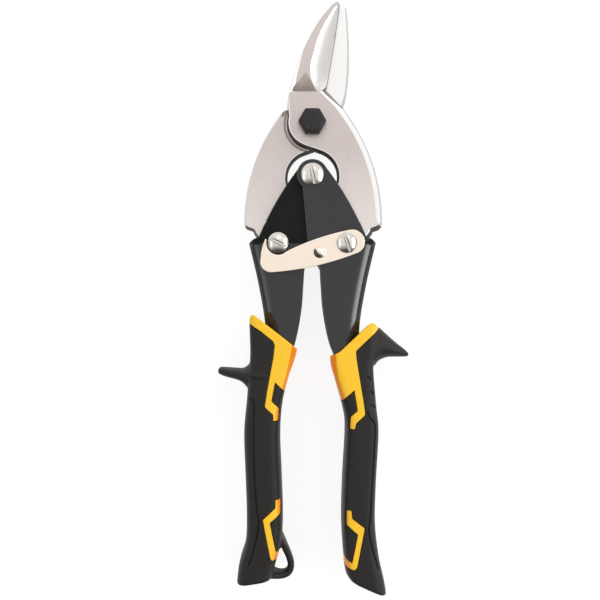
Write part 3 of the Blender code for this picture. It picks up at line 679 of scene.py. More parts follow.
@dataclass(frozen=True)
class Pivots:
    """Pivot centres in design coordinates."""

    handle_drop: float = 0.0224
    blade_drop: float = 0.0506
    spread: float = 0.01405
    pin_fit: float = 0.00015
    bolt_radius: float = 0.0030
    screw_radius: float = 0.0025

    @property
    def main(self) -> Vector:
        """Where the blades turn on each other."""
        return Vector((0.0, 0.0))

    @property
    def handle(self) -> Vector:
        """Where the handles turn on each other."""
        return Vector((0.0, -self.handle_drop))

    def blade(self, side: Side) -> Vector:
        """Where a blade turns in its handle."""
        return Vector((side.value * self.spread, -self.blade_drop))

    @property
    def screw_bore(self) -> float:
        """Radius of a hole for a pivot screw."""
        return self.screw_radius + self.pin_fit


LAYERS = Layers()
PIVOTS = Pivots()


class Shop:
    """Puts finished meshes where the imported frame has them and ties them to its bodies."""

    def __init__(self) -> None:
        """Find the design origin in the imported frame."""
        low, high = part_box("main_pivot_nut")
        middle = (low + high) / 2
        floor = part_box("front_blade")[0].z - LAYERS.blade_inner
        self.offset = Vector((middle.x, middle.y, floor))

    def settle(self, piece: Piece) -> Piece:
        """Move a mesh from design coordinates to the frame."""
        piece.data.transform(Matrix.Translation(self.offset))
        return piece

    def hand_over(self, piece: Piece, node: str, body: str, slot: str, finishes: Sequence[Finish]) -> Piece:
        """Place a piece, dress it and let it stand for a node.

        Args:
            piece: The finished mesh in design coordinates.
            node: The node it stands for.
            body: The body it moves with.
            slot: Not used.
            finishes: Its materials, in the order of its faces' material numbers.

        Returns:
            The piece.
        """
        self.settle(piece)
        self.dress(piece, finishes)
        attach(piece, body)
        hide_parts(node)
        LOG.info("%s: %d faces on %s", piece.name, len(piece.data.polygons), body)
        return piece

    @staticmethod
    def dress(piece: Piece, finishes: Sequence[Finish]) -> None:
        """Give a mesh its materials and keep its faces' material numbers.

        Args:
            piece: The piece.
            finishes: Its materials, in the order of their numbers.
        """
        numbers = [face.material_index for face in piece.data.polygons]
        piece.data.materials.clear()
        for finish in finishes:
            piece.data.materials.append(finish)
        for face, number in zip(piece.data.polygons, numbers):
            face.material_index = min(number, len(finishes) - 1)


class Weave:
    """A node tree being put together."""

    BEVEL_SAMPLES = 6

    def __init__(self, tree: Tree) -> None:
        """Start on a tree."""
        self.tree = tree

    def node(self, kind: str, **settings: object) -> Node:
        """Add a node and set its properties.

        Args:
            kind: Type of node.
            settings: Its properties.

        Returns:
            The node.
        """
        made = self.tree.nodes.new(kind)
        for key, value in settings.items():
            setattr(made, key, value)
        return made

    def link(self, source: Socket, target: Socket) -> None:
        """Join two sockets."""
        self.tree.links.new(source, target)

    def feed(self, socket: Socket, value: object) -> None:
        """Link another socket to this one, or set its value.

        Args:
            socket: The input.
            value: A socket or a value.
        """
        if isinstance(value, Socket):
            self.link(value, socket)
        else:
            socket.default_value = value

    def put(self, node: Node, **values: object) -> Node:
        """Set or link a node's inputs by name, with spaces written as underscores.

        Args:
            node: The node.
            values: A socket to link or a value to set for each input.

        Returns:
            The node.
        """
        for key, value in values.items():
            self.feed(node.inputs[key.replace("_", " ")], value)
        return node

    def math(self, operation: str, a: object, b: object = 0.0) -> Socket:
        """A Math node on two values or sockets.

        Args:
            operation: What it does.
            a: First value or socket.
            b: Second one.

        Returns:
            The result.
        """
        made = self.node("ShaderNodeMath", operation=operation)
        for socket, value in zip(made.inputs, (a, b)):
            self.feed(socket, value)
        return made.outputs[0]

    def span(self, value: Socket, low: float, high: float, start: float = 0.0, end: float = 1.0) -> Socket:
        """A Map Range node from low..high to start..end, clamped.

        Args:
            value: What is mapped.
            low: What is mapped to start.
            high: What is mapped to end.
            start: First result.
            end: Last result.

        Returns:
            The result.
        """
        made = self.node("ShaderNodeMapRange")
        for socket, item in zip(made.inputs, (value, low, high, start, end)):
            self.feed(socket, item)
        return made.outputs[0]

    def mix(self, share: object, a: object, b: object) -> Socket:
        """A colour mix.

        Args:
            share: Share of the second colour.
            a: First colour.
            b: Second colour.

        Returns:
            The colour.
        """
        made = self.node("ShaderNodeMix", data_type="RGBA")
        for index, item in ((0, share), (6, a), (7, b)):
            self.feed(made.inputs[index], item)
        return made.outputs[2]

    def rays(self, *kinds: str) -> Socket:
        """Whether a ray is of one of these kinds.

        Args:
            kinds: Outputs of the Light Path node.

        Returns:
            1 for such a ray, else 0.
        """
        path = self.node("ShaderNodeLightPath")
        seen = path.outputs[kinds[0]]
        for kind in kinds[1:]:
            seen = self.math("MAXIMUM", seen, path.outputs[kind])
        return seen

    def bevelled(self, radius: object) -> Socket:
        """The normal rounded over edges."""
        return self.put(self.node("ShaderNodeBevel", samples=self.BEVEL_SAMPLES), Radius=radius).outputs[0]

    def place(self) -> Socket:
        """Object coordinates."""
        return self.node("ShaderNodeTexCoord").outputs["Object"]

    def parts(self, vector: Socket) -> Sequence[Socket]:
        """The three parts of a vector.

        Args:
            vector: The vector.

        Returns:
            Its x, y and z.
        """
        made = self.node("ShaderNodeSeparateXYZ")
        self.link(vector, made.inputs[0])
        return made.outputs

    def noise(self, place: Socket, scale: Socket, detail: float = 3.0, roughness: float = 0.6) -> Socket:
        """A noise texture's value."""
        made = self.node("ShaderNodeTexNoise")
        return self.put(made, Vector=place, Scale=scale, Detail=detail, Roughness=roughness).outputs[0]


class Effects:
    """Shader node groups shared by the finishes, each built once."""

    CONTRAST = (0.3, 0.7)
    PATCH = (4.0, 0.55)
    BREAK_ROUGHNESS = 0.5
    EDGE = (0.997, 0.88)
    BREAKS = (0.35, 0.6, 0.2, 1.0)

    def __init__(self) -> None:
        """Build the groups."""
        self.grain = self._grain()
        self.brush = self._brush()
        self.wear = self._wear()

    @staticmethod
    def _group(
        name: str, inputs: dict[str, float], outputs: Sequence[str],
    ) -> tuple[Weave, Sequence[Socket], Sequence[Socket]]:
        """Start a group with float sockets.

        Args:
            name: Name of the group.
            inputs: Each input's name and default.
            outputs: The outputs' names.

        Returns:
            The weave on its tree, the sockets that it is given and those that it fills.
        """
        tree = bpy.data.node_groups.new(name, "ShaderNodeTree")
        for label, default in inputs.items():
            socket = tree.interface.new_socket(label, in_out="INPUT", socket_type="NodeSocketFloat")
            socket.default_value = default
        for label in outputs:
            tree.interface.new_socket(label, in_out="OUTPUT", socket_type="NodeSocketFloat")
        weave = Weave(tree)
        return weave, weave.node("NodeGroupInput").outputs, weave.node("NodeGroupOutput").inputs

    def _grain(self) -> Tree:
        """Fine speckle and slow patches on Object coordinates.

        Returns:
            The group.
        """
        weave, given, out = self._group("Grain", {"Speck Scale": 2500.0, "Patch Scale": 60.0}, ("Speck", "Patch"))
        place = weave.place()
        speck = weave.noise(place, given["Speck Scale"])
        patch = weave.noise(place, given["Patch Scale"], *self.PATCH)
        weave.link(weave.span(speck, *self.CONTRAST), out["Speck"])
        weave.link(weave.span(patch, *self.CONTRAST), out["Patch"])
        return weave.tree

    def _brush(self) -> Tree:
        """Fine lines left by grinding, turned about the upright axis.

        Returns:
            The group.
        """
        weave, given, out = self._group("Brush", {"Line Scale": 3000.0, "Stretch": 30.0, "Turn": 0.0}, ("Lines",))
        turn = weave.node("ShaderNodeVectorRotate", rotation_type="Z_AXIS")
        weave.put(turn, Vector=weave.place(), Angle=given["Turn"])
        x, y, z = weave.parts(turn.outputs[0])
        drawn = weave.node("ShaderNodeCombineXYZ")
        weave.put(drawn, X=x, Y=weave.math("DIVIDE", y, given["Stretch"]), Z=z)
        lines = weave.noise(drawn.outputs[0], given["Line Scale"])
        weave.link(weave.span(lines, *self.CONTRAST), out["Lines"])
        return weave.tree

    def _wear(self) -> Tree:
        """A mask along edges, broken up by noise, for edge wear that also paints a highlight along the edges.

        Returns:
            The group.
        """
        sockets = {"Radius": 0.0004, "Amount": 1.0, "Break Scale": 900.0}
        weave, given, out = self._group("Edge Wear", sockets, ("Mask",))
        dot = weave.node("ShaderNodeVectorMath", operation="DOT_PRODUCT")
        weave.link(weave.bevelled(given["Radius"]), dot.inputs[0])
        weave.link(weave.node("ShaderNodeNewGeometry").outputs["Normal"], dot.inputs[1])
        edge = weave.span(dot.outputs["Value"], *self.EDGE)
        noise = weave.noise(weave.place(), given["Break Scale"], roughness=self.BREAK_ROUGHNESS)
        broken = weave.math("MULTIPLY", edge, weave.span(noise, *self.BREAKS))
        weave.link(weave.math("MULTIPLY", broken, given["Amount"]), out["Mask"])
        return weave.tree


@dataclass(frozen=True)
class Surface:
    """A finish: two tones, a roughness range and the marks on it."""

    SIDE = (0.92, 0.45)
    ACROSS = (0.75, 0.55)
    INWARD = (-0.55, -0.80)
    FADED = (0.0, 0.9)
    FADE_MARKS = (0.2, 0.8, 0.6, 1.0)

    name: str
    light: Colour
    dark: Colour
    metallic: float
    roughness: tuple[float, float]
    speck_scale: float = 2500.0
    patch_scale: float = 60.0
    patch_share: float = 0.35
    bump: float = 0.00002
    bump_strength: float = 0.3
    line_scale: float = 0.0
    line_turn: float = 0.0
    # Edge wear, which is also a painted highlight along edges: its tone, the radius of the edges and its amount.
    worn: Colour | None = None
    wear_radius: float = 0.0004
    wear_amount: float = 0.6
    # Painted light and shade: a tone for faces by the way that they look.
    side_tone: Colour | None = None
    inward_only: bool = False
    # Painted light and shade: a ramp towards another tone between two heights along the tool.
    fade: tuple[float, float] = (0.0, 0.0)
    fade_tone: Colour | None = None
    specular: float = 0.5
    soft_edge: float = 0.0

    def made(self, effects: Effects) -> Finish:
        """Build the material.

        Args:
            effects: The shared node groups.

        Returns:
            The material.
        """
        finish = bpy.data.materials.new(self.name)
        finish.use_nodes = True
        weave = Weave(finish.node_tree)
        shader = finish.node_tree.nodes["Principled BSDF"]
        weave.put(shader, Metallic=self.metallic, Specular_IOR_Level=self.specular)
        grain = weave.node("ShaderNodeGroup", node_tree=effects.grain)
        weave.put(grain, Speck_Scale=self.speck_scale, Patch_Scale=self.patch_scale)
        marks = grain.outputs["Speck"]
        if self.line_scale:
            brush = weave.node("ShaderNodeGroup", node_tree=effects.brush)
            weave.put(brush, Line_Scale=self.line_scale, Turn=self.line_turn)
            marks = brush.outputs["Lines"]
        share = weave.math("MULTIPLY", grain.outputs["Patch"], self.patch_share)
        share = weave.math("ADD", share, weave.math("MULTIPLY", marks, 1.0 - self.patch_share))
        colour = weave.mix(share, (*self.dark, 1.0), (*self.light, 1.0))
        rough = weave.span(share, 0.0, 1.0, self.roughness[1], self.roughness[0])
        # Painted light and shade on faces by the way that they look.
        if self.side_tone:
            colour = weave.mix(self._sideways(weave), colour, (*self.side_tone, 1.0))
        # Painted light and shade: a ramp along the tool towards another tone.
        if self.fade_tone:
            reach = weave.span(weave.parts(weave.place())[1], *self.fade, *self.FADED)
            faded = weave.math("MULTIPLY", reach, weave.span(share, *self.FADE_MARKS))
            colour = weave.mix(faded, colour, (*self.fade_tone, 1.0))
        # Edge wear, also a painted highlight along edges.
        if self.worn:
            wear = weave.node("ShaderNodeGroup", node_tree=effects.wear)
            weave.put(wear, Radius=self.wear_radius, Amount=self.wear_amount)
            colour = weave.mix(wear.outputs["Mask"], colour, (*self.worn, 1.0))
        bump = weave.node("ShaderNodeBump")
        weave.put(bump, Strength=self.bump_strength, Distance=self.bump, Height=marks)
        if self.soft_edge:
            weave.link(weave.bevelled(self.soft_edge), bump.inputs["Normal"])
        weave.put(shader, Base_Color=colour, Roughness=rough, Normal=bump.outputs[0])
        LOG.info("finish %s", self.name)
        return finish

    def _sideways(self, weave: Weave) -> Socket:
        """How far a face looks across the tool, or with inward_only towards the other handle; the side tone is
        painted there as light and shade.

        Args:
            weave: The finish's node tree.

        Returns:
            The mask.
        """
        x, y, z = weave.parts(weave.node("ShaderNodeTexCoord").outputs["Normal"])
        if not self.inward_only:
            return weave.span(weave.math("ABSOLUTE", z), *self.SIDE)
        outward = weave.math("MULTIPLY", x, weave.math("SIGN", weave.parts(weave.place())[0]))
        across = weave.span(weave.math("ABSOLUTE", y), *self.ACROSS)
        return weave.math("MULTIPLY", across, weave.span(outward, *self.INWARD))


@dataclass(frozen=True)
class Finishes:
    """Every finish on the tool, ready to use."""

    satin: Finish
    ground: Finish
    hollow: Finish
    edge: Finish
    step: Finish
    rim: Finish
    rim_dark: Finish
    oxide: Finish
    coating: Finish
    coating_dull: Finish
    nickel: Finish
    slot: Finish
    latch: Finish
    spring: Finish
    yellow: Finish
    rubber: Finish

    @staticmethod
    def mixed() -> "Finishes":
        """Build the node groups and all the materials.

        Returns:
            The finishes.
        """
        effects = Effects()
        # Satin steel, painted lighter towards the handles.
        satin = Surface(
            "satin_forged_steel", (0.675, 0.605, 0.58), (0.54, 0.48, 0.46), 1.0, (0.34, 0.46),
            speck_scale=2600, patch_scale=45, patch_share=0.3, bump=0.00003, bump_strength=0.35,
            fade=(0.062, 0.026), fade_tone=(0.87, 0.815, 0.785),
        )
        ground = Surface(
            "ground_steel", (0.955, 0.945, 0.93), (0.905, 0.89, 0.875), 1.0, (0.26, 0.32),
            line_scale=1500, line_turn=1.2, patch_share=0.6, bump=0.00001, bump_strength=0.1,
        )
        hollow = Surface(
            "hollow_ground_steel", (0.71, 0.69, 0.67), (0.61, 0.59, 0.575), 1.0, (0.24, 0.32),
            line_scale=1800, line_turn=0.25, bump=0.00001, bump_strength=0.15,
        )
        # Painted shade: near-black steel for walls where shade falls, in the throat, under the heel and facing the
        # cut.
        edge = Surface(
            "forged_edge_steel", (0.11, 0.10, 0.094), (0.045, 0.041, 0.038), 0.8, (0.45, 0.60),
            speck_scale=2000, patch_scale=200, bump=0.00004, bump_strength=0.4,
        )
        # Painted shade: darker steel on the step triangle, the notch wall and the rub ring, with a painted ramp
        # lighter towards the tip.
        step = Surface(
            "satin_step_steel", (0.36, 0.30, 0.275), (0.20, 0.165, 0.15), 1.0, (0.38, 0.50),
            speck_scale=2600, patch_scale=260, patch_share=0.5, bump=0.00003, bump_strength=0.35,
            fade=(0.0852, 0.0925), fade_tone=(0.58, 0.50, 0.47),
        )
        # Painted light and shade: a pale wall finish for walls that look left and its darker copy for walls that
        # look right.
        rim = Surface(
            "bright_rim_steel", (0.78, 0.76, 0.75), (0.66, 0.64, 0.63), 0.0, (0.45, 0.60),
            speck_scale=2000, patch_scale=200, bump=0.00003, bump_strength=0.3, specular=0.3,
        )
        rim_dark = replace(rim, name="dark_rim_steel", light=(0.56, 0.545, 0.54), dark=(0.46, 0.45, 0.44))
        # Black oxide steel: its sideways faces take painted shade, a darker brown, and its edges carry wear that is
        # also a painted highlight.
        oxide = Surface(
            "black_oxide_steel", (0.042, 0.039, 0.039), (0.024, 0.022, 0.022), 0.0, (0.34, 0.48),
            speck_scale=1800, patch_scale=300, bump=0.00003, worn=(0.15, 0.135, 0.125), wear_amount=0.4,
            side_tone=(0.010, 0.005, 0.0025), specular=0.12,
        )
        # The coating's edges carry wear that is also a painted highlight.
        coating = Surface(
            "satin_black_coating", (0.016, 0.016, 0.017), (0.011, 0.011, 0.012), 0.0, (0.13, 0.19),
            speck_scale=1500, patch_scale=40, bump=0.00001, bump_strength=0.02,
            worn=(0.13, 0.13, 0.13), wear_amount=0.6, wear_radius=0.0004, specular=0.55,
        )
        # Painted shade: a darker, rougher copy of the coating for the upper part of the left front flange.
        coating_dull = Surface(
            "dull_black_coating", (0.008, 0.008, 0.0075), (0.004, 0.004, 0.004), 0.0, (0.30, 0.45),
            speck_scale=1200, patch_scale=150, patch_share=0.7, bump=0.00002, bump_strength=0.2,
            worn=(0.13, 0.13, 0.13), wear_amount=0.6, specular=0.14,
        )
        nickel = Surface(
            "bright_nickel", (0.80, 0.765, 0.71), (0.58, 0.55, 0.505), 1.0, (0.16, 0.28),
            speck_scale=1600, patch_scale=250, bump=0.00002,
        )
        # Painted shade: dark nickel for the walls of the screw slots and the lower left side of the latch's nub.
        slot = Surface(
            "slot_nickel", (0.16, 0.15, 0.14), (0.06, 0.056, 0.052), 0.8, (0.40, 0.55),
            speck_scale=1600, patch_scale=250, bump=0.00002,
        )
        latch = Surface(
            "latch_nickel", (1.0, 0.87, 0.75), (0.95, 0.82, 0.70), 1.0, (0.20, 0.30),
            speck_scale=2200, patch_scale=80, bump=0.00003, bump_strength=0.4,
        )
        spring = Surface(
            "drawn_spring_wire", (0.55, 0.53, 0.51), (0.36, 0.35, 0.34), 1.0, (0.25, 0.38),
            line_scale=1800, bump=0.00001,
        )
        # Painted shade: faces that look towards the other handle take a deeper orange.
        yellow = Surface(
            "yellow_moulding", (0.92, 0.545, 0.022), (0.87, 0.495, 0.016), 0.0, (0.36, 0.46),
            speck_scale=1300, patch_scale=50, bump=0.00002, bump_strength=0.25,
            side_tone=(0.92, 0.28, 0.010), inward_only=True, soft_edge=0.0003, specular=0.35,
        )
        # Painted light: the cover's sideways faces take a slightly lighter tone.
        rubber = Surface(
            "black_soft_cover", (0.0150, 0.0132, 0.0120), (0.0090, 0.0080, 0.0072), 0.0, (0.50, 0.62),
            speck_scale=1600, patch_scale=35, bump=0.00004, bump_strength=0.5,
            side_tone=(0.017, 0.014, 0.0125), soft_edge=0.0004, specular=0.3,
        )
        kinds = (
            satin, ground, hollow, edge, step, rim, rim_dark, oxide, coating, coating_dull, nickel, slot, latch,
            spring, yellow, rubber,
        )
        return Finishes(*(kind.made(effects) for kind in kinds))


@dataclass
class Blade:
    """What both blades share: the tang, its boss and its eye."""

    boss_radius: float = 0.0098
    neck: float = 0.0013
    eye_radius: float = 0.0070
    heel_path: tuple = (
        (0.0095, 0.0049), (0.0099, 0.0060), (0.0106, 0.0067), (0.0120, 0.0072), (0.0129, 0.0075),
        (0.0135, 0.0081), (0.0137, 0.0090),
    )
    tang_bulge: float = 0.0042
    shoulder_out: float = 0.0118
    shoulder_up: float = 0.0054
    tip_flat: float = 0.0006
    cut_up: float = 0.0150
    cut_out: float = 0.0057
    cut_bulge: float = 0.0003
    notch: float = 0.0019
    edge_land: float = 0.0023
    hollow_width: float = 0.0079
    hollow_sag: float = 0.00042
    hollow_widest: float = 0.3
    hollow_heel: float = 0.45
    hollow_limit: float = 0.8
    edge_steps: int = 32
    hollow_steps: int = 10
    boss_start: float = math.radians(-193)
    throat_end: float = math.radians(-22)
    eye_arc: tuple = (math.radians(180), math.radians(372))
    tang_steps: int = 24
    path_steps: int = 4
    spine_ease: int = 8
    upright: float = 0.45
    slanted: float = 0.15
    throat_draft: float = 0.00090
    edge_draft: float = 0.00180
    spine_draft: float = 0.00065
    notch_draft: float = 0.00235
    cut_draft: float = 0.00035
    shade: float = 0.0015
    heel_top: float = -0.0425

    @property
    def cutout(self) -> float:
        """Radius of the edge round the handle pivot."""
        return PIVOTS.handle_drop - self.boss_radius - self.neck

    def throat(self) -> Points:
        """The right-hand tang's inner edge, round the boss and then round the handle pivot.

        Returns:
            Its points, from the boss down.
        """
        cutout = self.cutout
        lean = (self.boss_radius + cutout) / PIVOTS.handle_drop
        touch = math.atan2(-lean, -math.sqrt(1 - lean ** 2))
        run = Draw.arc(PIVOTS.main, self.boss_radius, self.boss_start, touch)
        return run + Draw.arc(PIVOTS.handle, cutout, touch + math.pi, self.throat_end)

    def tang(self) -> Points:
        """The right-hand tang, from the boss down to its eye and up to the shoulder.

        Returns:
            Its outline, open at the jaw.
        """
        eye = PIVOTS.blade(Side.RIGHT)
        outline = self.throat()
        outline += Draw.arc(eye, self.eye_radius, *self.eye_arc)
        outline += [eye + Vector(point) for point in self.heel_path]
        shoulder = Vector((self.shoulder_out, self.shoulder_up))
        return outline + Draw.bowed(outline[-1], shoulder, -self.tang_bulge, self.tang_steps)

    def lean_out(self, piece: Piece, outline: Points, spine: int, low: float) -> None:
        """Let the forged edges of a blade lean outwards towards its back.

        Args:
            piece: The plate.
            outline: Its outline, which starts with the tang and ends with the spine.
            spine: Number of points at its end that are on the spine.
            low: Height of its back.
        """
        throat, tang, count = len(self.throat()), len(self.tang()), len(outline)
        wide = Draw.grown(outline, self.throat_draft)
        moved = {}
        for index, point in enumerate(outline):
            if index == tang:
                across = Draw.left(point - outline[index - 1])
                across *= math.copysign(self.notch_draft, across.dot(wide[index] - point))
                moved[Draw.key(point)] = point + across
                continue
            if index < throat:
                draft = self.throat_draft
            elif index < tang:
                draft = self.edge_draft
            elif index < count - spine:
                draft = self.cut_draft
            else:
                draft = self.spine_draft * min(1.0, (index - count + spine) / self.spine_ease)
            moved[Draw.key(point)] = point.lerp(wide[index], draft / self.throat_draft)
        for vert in piece.data.vertices:
            if abs(vert.co.z - low) < SNAP:
                vert.co.xy = moved[Draw.key(vert.co)]

    def on_edge(self, normal: Vector) -> bool:
        """Whether a face is part of an upright edge."""
        return abs(normal.z) < self.upright

    def in_shade(self, centre: Vector) -> bool:
        """Whether a place on an edge is in the throat or under the heel, where it is dark.

        Args:
            centre: The place.

        Returns:
            Whether it is.
        """
        boss = (centre.xy - PIVOTS.main).length - self.boss_radius
        throat = (centre.xy - PIVOTS.handle).length - self.cutout
        return min(boss, throat) < self.shade or centre.y < self.heel_top

    def wall_tone(self, centre: Vector, normal: Vector) -> Tone:
        """The finish of an upright edge: near-black painted shade where shade falls, else a pale copy of the rim
        finish, painted light, on walls that look left and a darker copy, painted shade, on walls that look right.

        Args:
            centre: Middle of the face.
            normal: The way it looks.

        Returns:
            The finish's number.
        """
        if self.in_shade(centre):
            return Tone.EDGE
        return Tone.RIM_DARK if normal.x > 0 else Tone.RIM

    def width_at(self, share: float) -> float:
        """How wide the hollow is at a share of the cutting edge, from its heel to the tip.

        Args:
            share: Share of the edge's length.

        Returns:
            The width.
        """
        if share < self.hollow_widest:
            return self.hollow_width * (1 - (1 - self.hollow_heel) * (1 - share / self.hollow_widest) ** 2)
        past = (share - self.hollow_widest) / (1 - self.hollow_widest)
        return self.hollow_width * (1 - past ** 2)

    def hollow(self, run: Rows, sign: int) -> Piece:
        """A cutter for the hollow between the cutting edge and a curved ridge.

        Args:
            run: x and y of points on the edge and on the ridge, and each edge point's share of the depth.
            sign: 1 for the front blade, -1 for the rear one.

        Returns:
            The cutter.
        """
        high = sign * LAYERS.blade_outer
        clear = high + sign * OVERRUN
        rings = []
        for *places, share in run:
            here, ridge = Vector(places[:2]), Vector(places[2:])
            inward = (ridge - here).normalized()
            low = high - sign * (LAYERS.blade - self.edge_land) * share
            outside = here - inward * OVERRUN
            ring = [(*outside, low)]
            for step in range(self.hollow_steps + 1):
                part = step / self.hollow_steps
                sag = sign * self.hollow_sag * share * 4 * part * (1 - part)
                ring.append((*here.lerp(ridge, part), low + (high - low) * part - sag))
            ring.append((*(ridge + inward * OVERRUN / 2), clear))
            ring.append((*outside, clear))
            rings.append(ring)
        return Bench.loft("hollow_cutter", rings)

    @staticmethod
    def level_with(spine: Points, edge: Points) -> Points:
        """Points on the spine level with those on the edge.

        Args:
            spine: The spine, from its top down.
            edge: The edge's points.

        Returns:
            A point on the spine for each of them.
        """
        found = []
        for point in edge:
            across = spine[0].x
            for upper, lower in zip(spine, spine[1:]):
                if lower.y <= point.y <= upper.y:
                    share = (point.y - lower.y) / max(upper.y - lower.y, TINY)
                    across = lower.x + (upper.x - lower.x) * share
            found.append(Vector((across, point.y)))
        return found

    @staticmethod
    def tone(piece: Piece, pick: Callable[[Vector, Vector], Tone]) -> None:
        """Number each face's material from its middle and normal."""
        for face in piece.data.polygons:
            face.material_index = pick(face.center, face.normal)


@dataclass
class FrontBlade(Blade):
    """The blade in front: spine on the left, tang on the right."""

    tip: tuple = (0.01125, 0.0496)
    spine_path: tuple = (
        (0.0107, 0.0503), (0.0095, 0.0498), (0.0082, 0.0488), (0.0068, 0.0473), (0.0030, 0.0425),
        (-0.0007, 0.0363), (-0.0036, 0.0300), (-0.0059, 0.0238), (-0.0079, 0.0176), (-0.0097, 0.0092),
    )
    hollow_path: tuple = (
        (0.0068, 0.0122, 0.0054, 0.0112, 0.30), (0.0060, 0.0134, 0.0033, 0.0123, 0.46),
        (0.0057, 0.0150, 0.0015, 0.0139, 0.64), (0.0059, 0.0170, 0.0003, 0.0165, 0.80),
        (0.0062, 0.0190, -0.0004, 0.0190, 0.92), (0.0066, 0.0217, -0.0007, 0.0217, 1.0),
        (0.0070, 0.0240, -0.0006, 0.0240, 1.0), (0.0080, 0.0300, 0.0009, 0.0300, 0.97),
        (0.0091, 0.0363, 0.0029, 0.0363, 0.85), (0.0103, 0.0425, 0.0060, 0.0425, 0.59),
        (0.0109, 0.0468, 0.0088, 0.0468, 0.29), (0.0111, 0.0484, 0.0101, 0.0485, 0.14),
    )
    outer_chamfer: float = 0.0013
    chamfer_slope: float = math.radians(14)
    notch_chamfer: tuple = (0.0010, 0.0007)
    crisp: float = 22.0
    edge_round: float = 0.00035
    spine_chamfer: float = 0.0015
    spine_slope: float = math.radians(27)
    chamfer_top: float = 0.0300
    step_at: float = 0.0128
    step_end: float = 0.0209
    step_depth: float = 0.00045
    step_left: float = -0.0095
    step_right: float = 0.0018
    step_apex: float = -0.0026
    cut_side: float = 0.003
    flank_out: float = 0.0115
    flank_foot: float = -0.045
    flank_top: float = -0.001
    rim_steps: int = 2
    notch_upright: float = 0.6
    level: float = 0.985
    hollow_turn: float = -0.3
    lean_play: float = 0.01
    skin: float = 0.00003

    @staticmethod
    def wedge(run: Points, widths: Sequence[float], slope: float) -> Piece:
        """A cutter for a flat chamfer along a run of points with the blade on its left.

        Args:
            run: The points.
            widths: Width of the chamfer at each point.
            slope: How steep it is, in radians.

        Returns:
            The cutter.
        """
        high, drop = LAYERS.blade_outer, math.tan(slope)
        rings = []
        for point, width, ahead in zip(run, widths, Draw.headings(run)):
            inward = Draw.left(ahead)
            outer, inner = point - inward * OVERRUN, point + inward * (width + OVERRUN)
            rings.append([
                Vector((*outer, high - (width + OVERRUN) * drop)),
                Vector((*inner, high + OVERRUN * drop)),
                Vector((*outer, high + OVERRUN * drop)),
            ])
        return Bench.loft("wedge", rings)

    def spine_cutter(self, spine: Points) -> Piece:
        """A cutter for the chamfer along the back of the jaw, narrower towards the tip.

        Args:
            spine: The spine, from its top down.

        Returns:
            The cutter.
        """
        heel, top = self.step_at, self.chamfer_top
        run = [point for point in spine if heel < point.y < top]
        run.append(self.level_with(spine, [Vector((0, heel))])[0])
        widths = [self.spine_chamfer * (top - point.y) / (top - heel) for point in run]
        return self.wedge(run, widths, self.spine_slope)

    def notch_cutter(self, shoulder: Vector, notch: Vector) -> Piece:
        """A cutter for the narrow chamfer from the shoulder up to the notch."""
        past = (notch - shoulder).normalized() * OVERRUN
        return self.wedge([shoulder - past, notch + past], self.notch_chamfer, self.chamfer_slope)

    def step_cutter(self) -> Piece:
        """A cutter for the shallow triangle where the boss steps down to the jaw.

        Returns:
            The cutter.
        """
        high = LAYERS.blade_outer
        floor = [(self.step_left, self.step_at), (self.step_right, self.step_at), (self.step_apex, self.step_end)]
        piece = Bench.plate("step_cutter", [Vector(point) for point in floor], high, high + OVERRUN)
        for vert in piece.data.vertices:
            if vert.co.z < high + OVERRUN / 2 and vert.co.y < self.step_at + SNAP:
                vert.co.z = high - self.step_depth
        return piece

    def build(self) -> Piece:
        """Model the blade.

        Returns:
            The blade.
        """
        tang = self.tang()
        start = Vector((self.cut_out, self.cut_up))
        spine = Draw.spline([*self.spine_path, tang[0]], self.path_steps)
        edge = [start, *Draw.bowed(start, Vector(self.tip), -self.cut_bulge, self.edge_steps)]
        notch = start + Vector((-self.notch, -self.notch))
        outline = [*tang, notch, *edge, *spine[:-1]]
        low, high = LAYERS.blade_inner, LAYERS.blade_outer
        piece = Bench.plate("snips_front_blade", outline, low, high)
        self.lean_out(piece, outline, len(spine) - 1, low)
        top, plain = Edges.above(high), Edges.among([*edge, *spine[:-self.path_steps]])
        is_outer = Edges.all_of(top, Edges.among(tang[-self.tang_steps - 1:]))
        is_rim = Edges.all_of(top, self.off_flank, lambda a, b: not plain(a, b))
        depth = self.outer_chamfer * math.tan(self.chamfer_slope)
        Bench.chamfer(piece, is_outer, self.outer_chamfer, depth, high)
        Bench.bevel(piece, is_rim, self.edge_round, self.rim_steps)
        Bench.combine(piece, self.notch_cutter(tang[-1], notch), Cut.TAKE)
        Bench.combine(piece, self.hollow(Draw.spline(self.hollow_path, self.path_steps), 1), Cut.TAKE)
        Bench.combine(piece, self.step_cutter(), Cut.TAKE)
        Bench.combine(piece, self.spine_cutter(spine), Cut.TAKE)
        Bench.drill(piece, PIVOTS.main, PIVOTS.bolt_radius + PIVOTS.pin_fit, low, high)
        Bench.drill(piece, PIVOTS.blade(Side.RIGHT), PIVOTS.screw_bore, low, high)
        self.tone(piece, self.look)
        return Bench.smooth(piece, self.crisp)

    def off_flank(self, a: Vector, b: Vector) -> bool:
        """Whether an edge is away from the chamfered outer side of the tang.

        Args:
            a: One end.
            b: The other end.

        Returns:
            Whether it is.
        """
        left, low, high = min(a.x, b.x), min(a.y, b.y), max(a.y, b.y)
        outside = left > self.flank_out or left > self.cut_side and high > self.flank_top
        return not (outside and low > self.flank_foot)

    def look(self, centre: Vector, normal: Vector) -> Tone:
        """The finish of a face.

        Args:
            centre: Its middle.
            normal: The way it looks.

        Returns:
            The finish's number.
        """
        step_lean = self.step_depth / (self.step_end - self.step_at)
        facing_cut = centre.x > self.cut_side and centre.y > self.shoulder_up and normal.x > 0
